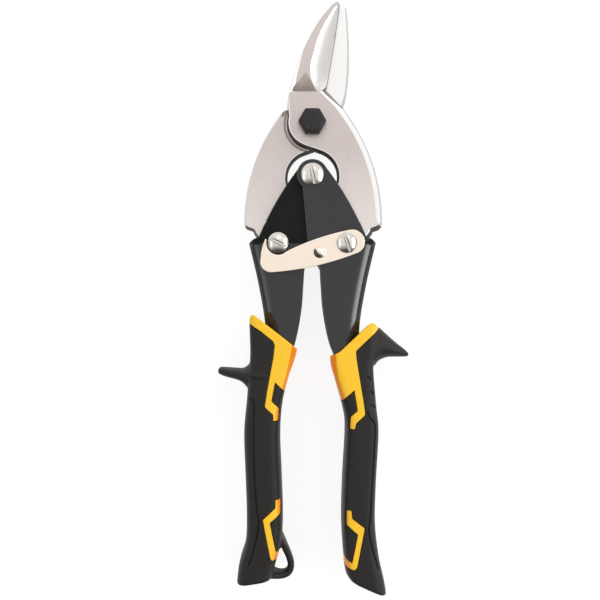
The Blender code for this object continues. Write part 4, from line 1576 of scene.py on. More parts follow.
        # Walls that face the cut get painted shade: the darker step steel on the notch wall, near-black steel on the
        # rest.
        if facing_cut and normal.z < self.notch_upright and centre.y < self.cut_up:
            return Tone.STEP
        if self.on_edge(normal):
            return Tone.EDGE if facing_cut else self.wall_tone(centre, normal)
        on_jaw, slanted = centre.y > self.step_at, normal.z > self.slanted
        # Painted shade on the floor of the step triangle.
        if on_jaw and abs(normal.x) < self.lean_play and abs(normal.y + step_lean) < self.lean_play:
            return Tone.STEP
        sunk = centre.z < LAYERS.blade_outer - self.skin
        if on_jaw and slanted and sunk and normal.x > self.hollow_turn:
            return Tone.HOLLOW
        return Tone.GROUND if slanted and normal.z < self.level else Tone.SATIN


@dataclass
class RearBlade(Blade):
    """The blade behind: spine on the right, tang on the left."""

    spine_path: tuple = (
        (0.0120, 0.0515), (0.0128, 0.0511), (0.0134, 0.0503), (0.0138, 0.0486), (0.0142, 0.0441),
        (0.0146, 0.0378), (0.0148, 0.0314), (0.0147, 0.0251), (0.0143, 0.0188), (0.0130, 0.0104),
    )
    overlap: float = 0.0020
    edge_draft: float = 0.00110
    spine_draft: float = 0.00110
    notch_draft: float = 0.00050
    outer_chamfer: float = 0.0010
    chamfer_depth: float = 0.00022
    edge_round: float = 0.0003
    jaw_from: float = 0.0080
    rub_radius: float = 0.0112
    rub_width: float = 0.0008
    rub_depth: float = 0.00015
    rub_sides: int = 96
    rim_steps: int = 2
    eye_play: float = 0.0003
    level: float = 0.95
    rub_level: float = 0.9

    def build(self) -> Piece:
        """Model the blade.

        Returns:
            The blade.
        """
        tang = Draw.mirrored(self.tang())
        start = Vector((self.cut_out - self.overlap, self.cut_up))
        spine = Draw.spline([*self.spine_path, tang[0]], self.path_steps)
        tip = spine[0] - Vector((2 * self.tip_flat, self.tip_flat))
        edge = [start, *Draw.bowed(start, tip, -self.cut_bulge, self.edge_steps)]
        notch = start + Vector((-self.notch, -self.notch))
        outline = [*tang, notch, *edge, *spine[:-1]]
        low, high = -LAYERS.blade_outer, -LAYERS.blade_inner
        piece = Bench.plate("snips_rear_blade", outline, low, high)
        self.lean_out(piece, outline, len(spine) - 1, low)
        top, throat = Edges.above(high), tang[:len(self.throat())]
        is_outer = Edges.all_of(top, Edges.among(tang[-self.tang_steps - 1:]))
        Bench.chamfer(piece, is_outer, self.outer_chamfer, self.chamfer_depth, high)
        Bench.bevel(piece, Edges.all_of(top, Edges.among(throat)), self.edge_round, self.rim_steps)
        run = []
        for index, (here, far) in enumerate(zip(edge, self.level_with(spine, edge))):
            width = min(self.width_at(index / self.edge_steps), (far - here).length * self.hollow_limit)
            run.append((*here, *(here + (far - here).normalized() * max(width, self.tip_flat)), 1.0))
        Bench.combine(piece, self.hollow(run, -1), Cut.TAKE)
        Bench.drill(piece, PIVOTS.main, PIVOTS.bolt_radius + PIVOTS.pin_fit, low, high)
        Bench.drill(piece, PIVOTS.blade(Side.LEFT), PIVOTS.screw_bore + self.eye_play, low, high)
        Bench.combine(piece, self.rub_ring(high), Cut.TAKE)
        Bench.split(piece, self.jaw_from)
        self.tone(piece, self.look)
        return Bench.smooth(piece)

    def look(self, centre: Vector, normal: Vector) -> Tone:
        """The finish of a face.

        Args:
            centre: Its middle.
            normal: The way it looks.

        Returns:
            The finish's number.
        """
        if self.on_edge(normal):
            return self.wall_tone(centre, normal)
        sunk = -LAYERS.blade_inner - centre.z
        # The rub ring's floor takes the darker step steel: the rub mark, and painted shadow of the front blade's
        # boss.
        rubbed = centre.xy.length < self.rub_radius + 2 * self.rub_width and normal.z > self.rub_level
        if rubbed and self.rub_depth / 2 < sunk < 2 * self.rub_depth:
            return Tone.STEP
        if centre.y > self.jaw_from and abs(normal.z) > self.slanted:
            return Tone.GROUND if normal.z > 0 else Tone.HOLLOW
        return Tone.GROUND if self.slanted < normal.z < self.level else Tone.SATIN

    def rub_ring(self, high: float) -> Piece:
        """A cutter for the faint ring that the other blade rubs round the bolt.

        Args:
            high: Height of the blade's front.

        Returns:
            The cutter.
        """
        inner, outer = self.rub_radius, self.rub_radius + self.rub_width
        ring = Draw.circle(PIVOTS.main, outer, self.rub_sides)
        piece = Bench.plate("rub_ring", ring, high - self.rub_depth, high + OVERRUN)
        return Bench.drill(piece, PIVOTS.main, inner, high - self.rub_depth, high + OVERRUN)


@dataclass
class MainPivot:
    """Hexagon bolt and nut on which the blades turn."""

    flats: float = 0.0100
    head: float = 0.0040
    nut: float = 0.0050
    end: float = 0.0008
    chamfer: float = math.radians(30)
    face: float = 0.80
    corner_ease: float = 0.02
    corner_steps: int = 2
    cone_steps: int = 96
    crisp: float = 25

    def head_solid(self, name: str, centre: Vector, flats: float, foot: float, top: float, both: bool) -> Piece:
        """A hexagon with its corners turned off.

        Args:
            name: Name of the new object.
            centre: Its axis.
            flats: Size across its flats.
            foot: Its lower face.
            top: Its upper face.
            both: Whether the lower face is chamfered too.

        Returns:
            The solid.
        """
        corner = flats / math.sqrt(3)
        piece = Bench.plate(name, Draw.circle(centre, corner, sides=6), foot, top)
        Bench.bevel(piece, Edges.upright, flats * self.corner_ease, self.corner_steps)
        rim = flats / 2 * self.face
        slope = (corner - rim) * math.tan(self.chamfer)
        cone = [(corner + OVERRUN, foot - OVERRUN)]
        if both:
            cone = [(rim, foot), (corner, foot + slope), (corner + OVERRUN, foot + slope)]
        cone += [(corner + OVERRUN, top - slope), (corner, top - slope), (rim, top), (0.0, top)]
        return Bench.combine(piece, Bench.turned("chamfer", centre, cone, self.cone_steps), Cut.KEEP)

    def bolt(self) -> Piece:
        """Model the bolt.

        Returns:
            The bolt.
        """
        foot = LAYERS.near_inner
        piece = self.head_solid("snips_pivot_bolt", PIVOTS.main, self.flats, foot, foot + self.head, False)
        end = -(LAYERS.near_inner + self.nut + self.end)
        radius = PIVOTS.bolt_radius
        shank = [(radius * (1 - END_TAPER), end), (radius, end + radius * END_TAPER), (radius, foot + OVERRUN)]
        Bench.combine(piece, Bench.turned("shank", PIVOTS.main, shank), Cut.JOIN)
        return Bench.smooth(piece, self.crisp)

    def nut_solid(self) -> Piece:
        """Model the nut.

        Returns:
            The nut.
        """
        top = -LAYERS.near_inner
        piece = self.head_solid("snips_pivot_nut", PIVOTS.main, self.flats, top - self.nut, top, True)
        Bench.drill(piece, PIVOTS.main, PIVOTS.bolt_radius + PIVOTS.pin_fit, top - self.nut, top)
        return Bench.smooth(piece, self.crisp)


@dataclass
class PivotScrew:
    """A slotted screw, its nut behind, on one of the handle pivots."""

    name: str
    centre: Vector
    head_radius: float
    head_foot: float
    nut_top: float
    slot_angle: float
    has_collar: bool = False
    head_height: float = 0.0025
    slot_width: float = 0.0009
    slot_flare: float = 0.0006
    slot_depth: float = 0.0012
    wall: float = 0.36
    cap_steps: int = 9
    collar_step: float = 0.0009
    nut_flats: float = 0.0080
    nut_height: float = 0.0025
    end_recess: float = 0.0002
    slot_lean: float = 0.9
    slot_end: float = 0.97
    crisp: float = 35

    def screw(self) -> Piece:
        """Model the screw with a slightly domed, slotted head.

        Returns:
            The screw.
        """
        shank = PIVOTS.screw_radius
        end = self.nut_top - self.nut_height + self.end_recess
        foot, radius, height = self.head_foot, self.head_radius, self.head_height
        profile = [(shank * (1 - END_TAPER), end), (shank, end + shank * END_TAPER)]
        if self.has_collar:
            wide = shank + self.collar_step
            low, high = LAYERS.far_inner, LAYERS.far_outer
            profile += [(shank, low), (wide, low), (wide, high), (shank, high)]
        wall, top = foot + self.wall * height, foot + height
        profile += [(shank, foot), (radius, foot), (radius, wall)]
        profile += Draw.cap(radius, top - wall, top, self.cap_steps)[1:]
        piece = Bench.turned(f"snips_{self.name}_screw", self.centre, profile)
        along = Vector((math.cos(self.slot_angle), math.sin(self.slot_angle)))
        across = Vector((-along.y, along.x)) * self.slot_width / 2
        reach = along * (radius + OVERRUN)
        signs = ((1, 1), (-1, 1), (-1, -1), (1, -1))
        corners = [self.centre + reach * end + across * flank for end, flank in signs]
        slot = Bench.plate("slot", corners, top - self.slot_depth, top + OVERRUN)
        for vert in slot.data.vertices:
            if vert.co.z > top:
                side = math.copysign(self.slot_flare, (vert.co.xy - self.centre).dot(across))
                vert.co.xy += across.normalized() * side
        Bench.combine(piece, slot, Cut.TAKE)
        # The slot's walls take the dark nickel: painted shade in the recess.
        for face in piece.data.polygons:
            away = face.center.xy - self.centre
            inside = abs(away.cross(along)) < self.slot_width / 2 + self.slot_flare and face.center.z > foot
            leans = abs(face.normal.xy.cross(along)) > self.slot_lean
            face.material_index = int(inside and leans and away.length < radius * self.slot_end)
        return Bench.smooth(piece, self.crisp)

    def nut(self) -> Piece:
        """Model the nut.

        Returns:
            The nut.
        """
        low = self.nut_top - self.nut_height
        maker = MainPivot()
        piece = maker.head_solid(f"snips_{self.name}_nut", self.centre, self.nut_flats, low, self.nut_top, True)
        Bench.drill(piece, self.centre, PIVOTS.screw_bore, low, self.nut_top)
        return Bench.smooth(piece, maker.crisp)


@dataclass
class Channel:
    """A pressed steel handle: two flanges joined by a web on the outer side."""

    side: Side
    boss_radius: float = 0.0064
    edge_bulge: float = 0.0011
    tab_top: float = 0.0041
    tab_foot: float = 0.0019
    tab_drop: float = 0.0010
    tab_cut: float = 0.0016
    boss_end: float = math.radians(28)
    shoulder_out: float = 0.0080
    web_out: float = 0.0123
    web_up: float = 0.0028
    corner_out: float = 0.0103
    corner_up: float = 0.0018
    web_top: float = 0.0002
    bend: float = 0.0056
    slopes: tuple = (14.0, 18.0, 20.5, 22.5, 24.0, 25.0, 26.5, 38.0, 43.0, 45.0)
    back_bend: float = 0.0030
    pocket_chamfer: float = 0.0015
    tail_width: float = 0.0074
    edge_round: float = 0.0003
    web_steps: int = 12
    back_steps: int = 5
    rim_steps: int = 2
    rim_out: float = 0.019
    rim_low: float = -0.095
    facing: float = 0.9
    crisp: float = 12
    web_path: tuple = ((0.0223, -0.0680), (0.0195, -0.0860), (0.0207, -0.0985))
    inner_path: tuple = (
        (0.0100, -0.0995), (0.0069, -0.0910), (0.0046, -0.0790), (0.0037, -0.0680), (0.0033, -0.0612),
    )
    tail_path: tuple = (
        (0.0197, -0.1160), (0.0206, -0.1270), (0.0204, -0.1380), (0.0198, -0.1510), (0.0193, -0.1630),
    )

    @property
    def front(self) -> float:
        """Front face of the front flange."""
        return LAYERS.far_outer if self.side is Side.RIGHT else LAYERS.near_outer

    @property
    def back(self) -> float:
        """Back face of the back flange."""
        return -LAYERS.near_outer if self.side is Side.RIGHT else -LAYERS.far_outer

    def web(self) -> Points:
        """Outer face of the right-hand web, from its top down to the end of its tail.

        Returns:
            Its points.
        """
        half = Vector((self.tail_width / 2, 0))
        tail = [Vector(point) + half for point in self.tail_path]
        top = PIVOTS.blade(Side.RIGHT) + Vector((self.web_out, self.web_top))
        return Draw.spline([top, *self.web_path, *tail], self.web_steps)

    def outline(self) -> Points:
        """The right-hand channel seen from the front.

        Returns:
            Its outline.
        """
        half = Vector((self.tail_width / 2, 0))
        tail = [Vector(point) - half for point in reversed(self.tail_path)]
        inner = Draw.spline([*tail, *self.inner_path])
        foot = Vector((-self.tab_foot, -PIVOTS.blade_drop - self.tab_drop))
        drop = math.sqrt(self.boss_radius ** 2 - self.tab_top ** 2)
        left = math.atan2(-drop, -self.tab_top) + math.tau
        boss = Draw.arc(PIVOTS.handle, self.boss_radius, left, self.boss_end)
        shoulder = PIVOTS.blade(Side.RIGHT) + Vector((self.shoulder_out, self.web_up))
        edge = Draw.bowed(boss[-1], shoulder, self.edge_bulge)
        eased = PIVOTS.blade(Side.RIGHT) + Vector((self.corner_out, self.corner_up))
        corner = foot + Vector((self.tab_cut / 2, -self.tab_cut))
        return [*boss, *edge, eased, *self.web(), *inner, corner, foot]

    def bent(self, piece: Piece) -> None:
        """Give the front bend its slopes: a gentle strip beside the flange and a steeper edge.

        Args:
            piece: The piece.
        """
        step = self.bend / len(self.slopes)
        for vert in piece.data.vertices:
            across = self.front - vert.co.z
            if SNAP < across < self.bend + 10 * SNAP:
                for index, slope in enumerate(self.slopes):
                    part = min(max(across - step * index, 0.0), step)
                    vert.co.z += part * (1 - math.tan(math.radians(slope)))

    def placed(self, outline: Points) -> Points:
        """An outline drawn for the right, put on this side."""
        return outline if self.side is Side.RIGHT else Draw.mirrored(outline)

    def build(self) -> Piece:
        """Model the channel.

        Returns:
            The channel.
        """
        outline = self.outline()
        web = self.web()
        first = outline.index(web[0])
        inside = Draw.grown(outline, -LAYERS.sheet)[first:first + len(web) - 1]
        above = 2 * inside[0] - inside[1]
        pocket = [
            Vector((above.x, FAR)),
            above,
            *inside,
            Vector((inside[-1].x, -FAR)),
            Vector((-FAR, -FAR)),
            Vector((-FAR, FAR)),
        ]
        piece = Bench.plate(f"snips_{self.side.label}_channel", self.placed(outline), self.back, self.front)
        is_web = Edges.all_of(Edges.level, Edges.among(self.placed(web)))
        is_pocket = Edges.all_of(Edges.level, Edges.above(0.0), Edges.among(self.placed(pocket[1:-3])))
        on_rim = Edges.among(self.placed(outline), self.placed(web))
        is_rim = Edges.all_of(Edges.level, Edges.above(self.front), on_rim, self.is_inner)
        Bench.bevel(piece, Edges.all_of(is_web, Edges.above(0.0)), self.bend, len(self.slopes), Bench.FLAT)
        self.bent(piece)
        Bench.bevel(piece, Edges.all_of(is_web, Edges.below(0.0)), self.back_bend, self.back_steps)
        Bench.bevel(piece, is_rim, self.edge_round, self.rim_steps)
        low, high = self.back + LAYERS.sheet, self.front - LAYERS.sheet
        tool = Bench.plate("pocket", self.placed(pocket), low, high)
        Bench.bevel(tool, is_pocket, self.pocket_chamfer, 1)
        Bench.combine(piece, tool, Cut.TAKE)
        Bench.drill(piece, PIVOTS.handle, PIVOTS.screw_bore, self.back, self.front)
        Bench.drill(piece, PIVOTS.blade(self.side), PIVOTS.screw_bore, self.back, self.front)
        # The left front flange's upper part takes painted shade.
        if self.side is Side.LEFT:
            self.dulled(piece)
        return Bench.smooth(piece, self.crisp)

    def is_inner(self, a: Vector, b: Vector) -> bool:
        """Whether an edge is away from the web and above the grip."""
        return min(abs(a.x), abs(b.x)) < self.rim_out and min(a.y, b.y) > self.rim_low

    def dulled(self, piece: Piece) -> None:
        """Number the front flange above the blade pivot as material 1, a darker, rougher copy of the coating that
        paints shade there.

        Args:
            piece: The piece.
        """
        Bench.split(piece, -PIVOTS.blade_drop)
        for face in piece.data.polygons:
            front = face.normal.z > self.facing and face.center.z > self.front - LAYERS.sheet / 2
            face.material_index = int(front and face.center.y > -PIVOTS.blade_drop)


@dataclass
class Latch:
    """Flat latch that turns on the right screw and hooks round the left one."""

    end_radius: float = 0.0051
    end_out: float = 0.0023
    end_up: float = 0.0004
    notch_radius: float = 0.0047
    hook_width: float = 0.0026
    hook_up: float = 0.0019
    hook_tip: float = 0.25
    depth: float = 0.0122
    heel_radius: float = 0.0046
    top_bulge: float = 0.0010
    foot_bulge: float = 0.0014
    hook_bulge: float = 0.0005
    nub_radius: float = 0.0025
    nub_height: float = 0.0016
    nub_out: float = 0.0111
    nub_drop: float = 0.0038
    nub_steps: int = 9
    nub_sides: int = 48
    end_arc: tuple = (math.radians(-64), math.radians(98))
    notch_arc: tuple = (math.radians(-50), math.radians(-196))
    heel_arc: tuple = (math.radians(165), math.radians(272))
    nub_shade: tuple = (-0.80, -0.60)
    nub_turn: float = 0.25
    edge_round: float = 0.00045
    rim_steps: int = 2
    crisp: float = 35

    def outline(self) -> Points:
        """The latch seen from the front.

        Returns:
            Its outline.
        """
        right, left = PIVOTS.blade(Side.RIGHT), PIVOTS.blade(Side.LEFT)
        end = right + Vector((self.end_out, self.end_up))
        round_end = Draw.arc(end, self.end_radius, *self.end_arc)
        notch = Draw.arc(left, self.notch_radius, *self.notch_arc)
        top = Draw.bowed(round_end[-1], notch[0], -self.top_bulge)
        hook_out = left.x - self.notch_radius - self.hook_width
        hook_tip = Vector((notch[-1].x - self.hook_width * self.hook_tip, left.y + self.hook_up))
        heel = Vector((hook_out + self.heel_radius, left.y - self.depth + self.heel_radius))
        bend = Draw.arc(heel, self.heel_radius, *self.heel_arc)
        foot = Draw.bowed(bend[-1], round_end[0], -self.foot_bulge)
        outside = Draw.bowed(hook_tip, bend[0], -self.hook_bulge)
        return [*round_end, *top[:-1], *notch, hook_tip, *outside[:-1], *bend, *foot[:-1]]

    def build(self) -> Piece:
        """Model the latch with its thumb nub.

        Returns:
            The latch.
        """
        back, front = LAYERS.latch_back, LAYERS.latch_front
        piece = Bench.plate("snips_latch", self.outline(), back, front)
        Bench.bevel(piece, Edges.above(front), self.edge_round, self.rim_steps)
        place = Vector((PIVOTS.spread - self.nub_out, -PIVOTS.blade_drop - self.nub_drop))
        nub = [(self.nub_radius, front - LAYERS.latch / 2)]
        nub += Draw.cap(self.nub_radius, self.nub_height, front + self.nub_height, self.nub_steps)
        Bench.combine(piece, Bench.turned("nub", place, nub, self.nub_sides), Cut.JOIN)
        Bench.drill(piece, PIVOTS.blade(Side.RIGHT), PIVOTS.screw_bore, back, front)
        # The nub's lower left side takes the dark nickel: painted shade.
        for face in piece.data.polygons:
            on_nub = (face.center.xy - place).length < self.nub_radius and face.center.z > front + 10 * SNAP
            face.material_index = int(on_nub and face.normal.xy.dot(Vector(self.nub_shade)) > self.nub_turn)
        return Bench.smooth(piece, self.crisp)


@dataclass
class OpeningSpring:
    """Torsion spring wound on the pivot sleeve, a leg against a spacer of each handle."""

    wire: float = 0.00075
    coil_play: float = 0.00065
    end_gap: float = 0.0006
    turns: int = 3
    leg: float = 0.0045
    spacer: float = 0.0050
    sleeve: float = 0.0036
    points_per_turn: int = 40
    sides: int = 12
    leg_steps: int = 4
    blend_reach: float = 0.006
    crisp: float = 50

    def path(self) -> Points:
        """Centre line of the wire.

        Returns:
            Its points, from the right leg's end to the left one's.
        """
        coil_radius = self.sleeve + self.coil_play + self.wire
        stand_off = self.spacer + LAYERS.clearance + self.wire
        end = PIVOTS.blade(Side.RIGHT) + Vector((-stand_off, -self.leg))
        away = end - PIVOTS.handle
        start = math.atan2(away.y, away.x) + math.acos(coil_radius / away.length)
        turn = math.tau * self.turns + math.pi - 2 * start
        rise = 2 * (LAYERS.near_inner - self.end_gap - self.wire)
        count = math.ceil(self.points_per_turn * turn / math.tau)
        coil = []
        for index in range(count + 1):
            share = index / count
            angle = start + turn * share
            place = PIVOTS.handle + coil_radius * Vector((math.cos(angle), math.sin(angle)))
            coil.append(Vector((*place, rise * (share - 0.5))))
        foot = Vector((*end, -rise / 2))
        far_foot = Vector((-foot.x, foot.y, rise / 2))
        shares = [step / self.leg_steps for step in range(self.leg_steps + 1)]
        near = [foot.lerp(coil[0], share) for share in shares[:-1]]
        far = [coil[-1].lerp(far_foot, share) for share in shares[1:]]
        return [*near, *coil, *far]

    def build(self) -> Piece:
        """Model the wire as a tube along its centre line.

        Returns:
            The spring.
        """
        path = self.path()
        rings = []
        for point, ahead in zip(path, Draw.headings(path)):
            across = ahead.cross(Vector((0, 0, 1))).normalized() * self.wire
            up = across.cross(ahead).normalized() * self.wire
            turns = Draw.turns(self.sides)
            rings.append([point + across * math.cos(t) + up * math.sin(t) for t in turns])
        return Bench.smooth(Bench.loft("snips_opening_spring", rings), self.crisp)


@dataclass
class Grip:
    """A grip's two mouldings: a bright inner sleeve with inlays, and a dark cover with windows."""

    side: Side
    stations: tuple
    horns: tuple
    inlays: tuple
    grooves: tuple
    loop: tuple = ()
    cap: tuple = ()
    rise: float = 0.0035
    cover_wall: float = 0.0012
    sleeve_wall: float = 0.0012
    land_cut: float = 0.0003
    roundness: float = 4.0
    collar_roundness: float = 8.0
    horn_sharpness: float = 0.78
    horn_back: float = 0.0100
    lean_reach: float = 0.0060
    lean_middle: float = -0.00045
    lean: float = 0.00085
    end_round: float = 0.0016
    end_reach: float = 0.0011
    sleeve_end: float = 0.0090
    sleeve_top: float = 0.0030
    chamfer_in: float = 0.0031
    chamfer_down: float = 0.0056
    chamfer_end: float = -0.1170
    groove_width: float = 0.0006
    groove_depth: float = 0.0006
    inlay_corner: float = 0.0005
    groove_flare: float = 1.6
    ray_from: float = 0.1
    hollow_past: float = 0.002
    chamfer_from: float = 0.02
    end_turns: tuple = (25, 50, 75, 90)
    voxel: float = 0.00042
    smoothing: float = 0.5
    passes: int = 4
    steps: int = 8
    sides: int = 64
    horn_sides: int = 40
    loop_sides: int = 24
    crisp: float = 40

    @property
    def half_depth(self) -> float:
        """Half the depth of the grip from front to back."""
        return LAYERS.far_outer + self.sleeve_wall + self.cover_wall + 2 * LAYERS.clearance

    def rounded(self, value: float, share: float = 0.0) -> float:
        """A cosine or sine drawn out towards a rounded rectangle, squarer with its share of the collar."""
        power = self.roundness + (self.collar_roundness - self.roundness) * share
        return Draw.powered(value, 2 / power)

    def ring(self, station: Vector, inset: float, chamfered: bool) -> Points:
        """A section of the grip.

        Args:
            station: Its centre x and y, width and slant in degrees.
            inset: How far it is drawn in.
            chamfered: Whether the inner front edge is chamfered as near the collar.

        Returns:
            Its points.
        """
        x, y, width, slant = station
        along = Vector((math.cos(math.radians(slant)), math.sin(math.radians(slant))))
        half = width / 2 - inset
        deep = self.half_depth + self.land_cut - inset
        top = self.stations[0][1]
        share = (y - self.chamfer_end) / (top - self.chamfer_end)
        share = min(max(share, 0.0), 1.0) if chamfered else 0.0
        points = []
        for angle in Draw.turns(self.sides):
            u = self.rounded(math.cos(angle), share) * half
            z = self.rounded(math.sin(angle), share) * deep
            if share > self.chamfer_from:
                slope = Vector((1 / self.chamfer_in, 1 / self.chamfer_down)) / share
                beyond = Vector((-u * self.side.value - half, z - deep)).dot(slope) + 1
                if beyond > 0:
                    shift = slope * beyond / slope.length_squared
                    u += self.side.value * shift.x
                    z -= shift.y
            place = Vector((x, y)) + along * u
            points.append(Vector((*place, max(-self.half_depth + inset, z))))
        return points

    def rings(self, stations: Rows, inset: float, chamfered: bool) -> list[Points]:
        """Sections down the grip, smoothly between the stations."""
        return [self.ring(station, inset, chamfered) for station in Draw.spline(stations, self.steps)]

    def whole_rings(self) -> list[Points]:
        """Sections of the whole grip with its lower end rounded.

        Returns:
            The sections.
        """
        rings = self.rings(self.stations, 0.0, True)
        if self.cap:
            rings.insert(0, self.ring(Vector(self.drawn_in(-self.rise, 0.0)[0]), 0.0, True))
        before, last = (Vector(station[:2]) for station in self.stations[-2:])
        onward = (last - before).normalized() * self.end_reach
        _, _, width, slant = self.stations[-1]
        for turn in self.end_turns:
            angle = math.radians(turn)
            place = last + onward * math.sin(angle)
            inset = self.end_round * (1 - math.cos(angle))
            rings.append(self.ring(Vector((*place, width, slant)), inset, True))
        return rings

    def drawn_in(self, top: float, bottom: float) -> list[list[float]]:
        """The stations with the first and last moved along the grip.

        Args:
            top: How far the first is drawn in, negative to lengthen.
            bottom: How far the last is drawn in.

        Returns:
            The moved stations.
        """
        moved = [list(station) for station in self.stations]
        for index, after, distance in ((0, 1, top), (-1, -2, bottom)):
            here, there = Vector(self.stations[index][:2]), Vector(self.stations[after][:2])
            moved[index][0:2] = here + (there - here).normalized() * distance
            share = distance / (there - here).length
            for slot in (2, 3):
                moved[index][slot] += (self.stations[after][slot] - self.stations[index][slot]) * share
        last, before = Vector(self.stations[-1][:2]), Vector(self.stations[-2][:2])
        if bottom >= (last - before).length:
            del moved[-2]
        return moved

    def horn_solid(self, run: Rows) -> Piece:
        """A thumb horn or ridge: sections with a blunt crest that taper outwards.

        Args:
            run: Each section's x, y, half height and half depth.

        Returns:
            The solid.
        """
        rings = []
        for x, y, high, deep in Draw.spline(run, self.steps):
            ring = []
            for angle in Draw.turns(self.horn_sides):
                up = Draw.powered(math.cos(angle), self.horn_sharpness)
                out = Draw.powered(math.sin(angle), self.horn_sharpness)
                ring.append(Vector((x, y + high * up, max(deep * out, -self.horn_back))))
            rings.append(ring)
        return Bench.loft("horn", rings)

    def loop_solid(self) -> Piece:
        """The band round the lanyard hole.

        Returns:
            The band.
        """
        path = Draw.spline(self.loop, self.steps)
        rings = []
        for (x, y, deep, wide), ahead in zip(path, Draw.headings(path)):
            across = Draw.left(ahead) * wide
            row = []
            for angle in Draw.turns(self.loop_sides):
                place = Vector((x, y)) + across * self.rounded(math.cos(angle))
                row.append(Vector((*place, deep * self.rounded(math.sin(angle)))))
            rings.append(row)
        return Bench.loft("loop", rings)

    def whole(self) -> Piece:
        """The whole grip as one smooth body.

        Returns:
            The body.
        """
        piece = Bench.loft(f"{self.side.label}_whole_grip", self.whole_rings())
        if self.cap:
            Bench.combine(piece, self.prism([Vector(point) for point in self.cap]), Cut.KEEP)
        extras = [self.horn_solid(run) for run in self.horns]
        if self.loop:
            extras.append(self.loop_solid())
        Bench.joined([piece, *extras])
        Bench.applied(piece, "REMESH", mode="VOXEL", voxel_size=self.voxel)
        Bench.applied(piece, "SMOOTH", factor=self.smoothing, iterations=self.passes)
        return self.leaned(piece)

    def leaned(self, piece: Piece) -> Piece:
        """Lean the end of the collar so that its front stands out over its back.

        Args:
            piece: The piece.

        Returns:
            The piece.
        """
        x, y, _, slant = self.stations[0]
        turn = math.radians(slant)
        onward = Vector((-math.sin(turn), math.cos(turn)))
        for vert in piece.data.vertices:
            below = max((Vector((x, y)) - vert.co.xy).dot(onward), 0.0)
            hold = max(1 - below / self.lean_reach, 0.0)
            vert.co.xy += onward * hold * (self.lean_middle + self.lean * vert.co.z / self.half_depth)
        return piece

    def prism(self, outline: Points) -> Piece:
        """A prism right through the grip."""
        return Bench.plate("prism", outline, -self.half_depth - OVERRUN, self.half_depth + OVERRUN)

    def groove(self, whole: Piece, path: Rows) -> Piece:
        """A cutter for a shallow groove in the front of the grip.

        Args:
            whole: The whole grip, which gives the height of its front.
            path: The groove seen from the front.

        Returns:
            The cutter.
        """
        run = Draw.spline(path)
        rings = []
        for point, ahead in zip(run, Draw.headings(run)):
            across = Draw.left(ahead) * self.groove_width / 2
            hit, place, _, _ = whole.ray_cast(Vector((*point, self.ray_from)), Vector((0, 0, -1)))
            front = place.z if hit else self.half_depth
            clear, floor = front + OVERRUN / 2, front - self.groove_depth
            wide = across * self.groove_flare
            places = ((wide, clear), (across, floor), (-across, floor), (-wide, clear))
            rings.append([Vector((*(point + aside), height)) for aside, height in places])
        return Bench.loft("groove", rings)

    def build(self) -> tuple[Piece, Piece]:
        """Model both mouldings.

        Returns:
            The sleeve and the cover.
        """
        whole = self.whole()
        outlines = [[Vector(point) for point in inlay] for inlay in self.inlays]
        wider = [Draw.grown(outline, LAYERS.clearance) for outline in outlines]
        windows = [self.prism(Draw.eased(outline, self.inlay_corner)) for outline in wider]
        insides = [self.prism(Draw.eased(outline, self.inlay_corner)) for outline in outlines]
        core = self.rings(self.drawn_in(self.sleeve_top, self.sleeve_end), self.cover_wall + LAYERS.clearance, False)
        ends = self.drawn_in(-self.hollow_past, self.sleeve_end - LAYERS.clearance)
        hollow = self.rings(ends, self.cover_wall, False)
        cover = Bench.copied(whole, f"snips_{self.side.label}_cover")
        bpy.context.view_layer.update()
        grooves = [self.groove(whole, path) for path in self.grooves]
        Bench.combine(cover, Bench.joined([*windows, *grooves]), Cut.TAKE)
        Bench.combine(cover, Bench.loft("hollow", hollow), Cut.TAKE)
        sleeve = Bench.loft(f"snips_{self.side.label}_sleeve", core)
        Bench.combine(whole, Bench.joined(insides), Cut.KEEP)
        Bench.combine(sleeve, whole, Cut.JOIN)
        channel = Channel(self.side)
        tail = Draw.grown(channel.outline(), LAYERS.clearance)
        low, high = channel.back - LAYERS.clearance, channel.front + LAYERS.clearance
        Bench.combine(sleeve, Bench.plate("tail_hole", channel.placed(tail), low, high), Cut.TAKE)
        return Bench.smooth(sleeve, self.crisp, False), Bench.smooth(cover, self.crisp, False)


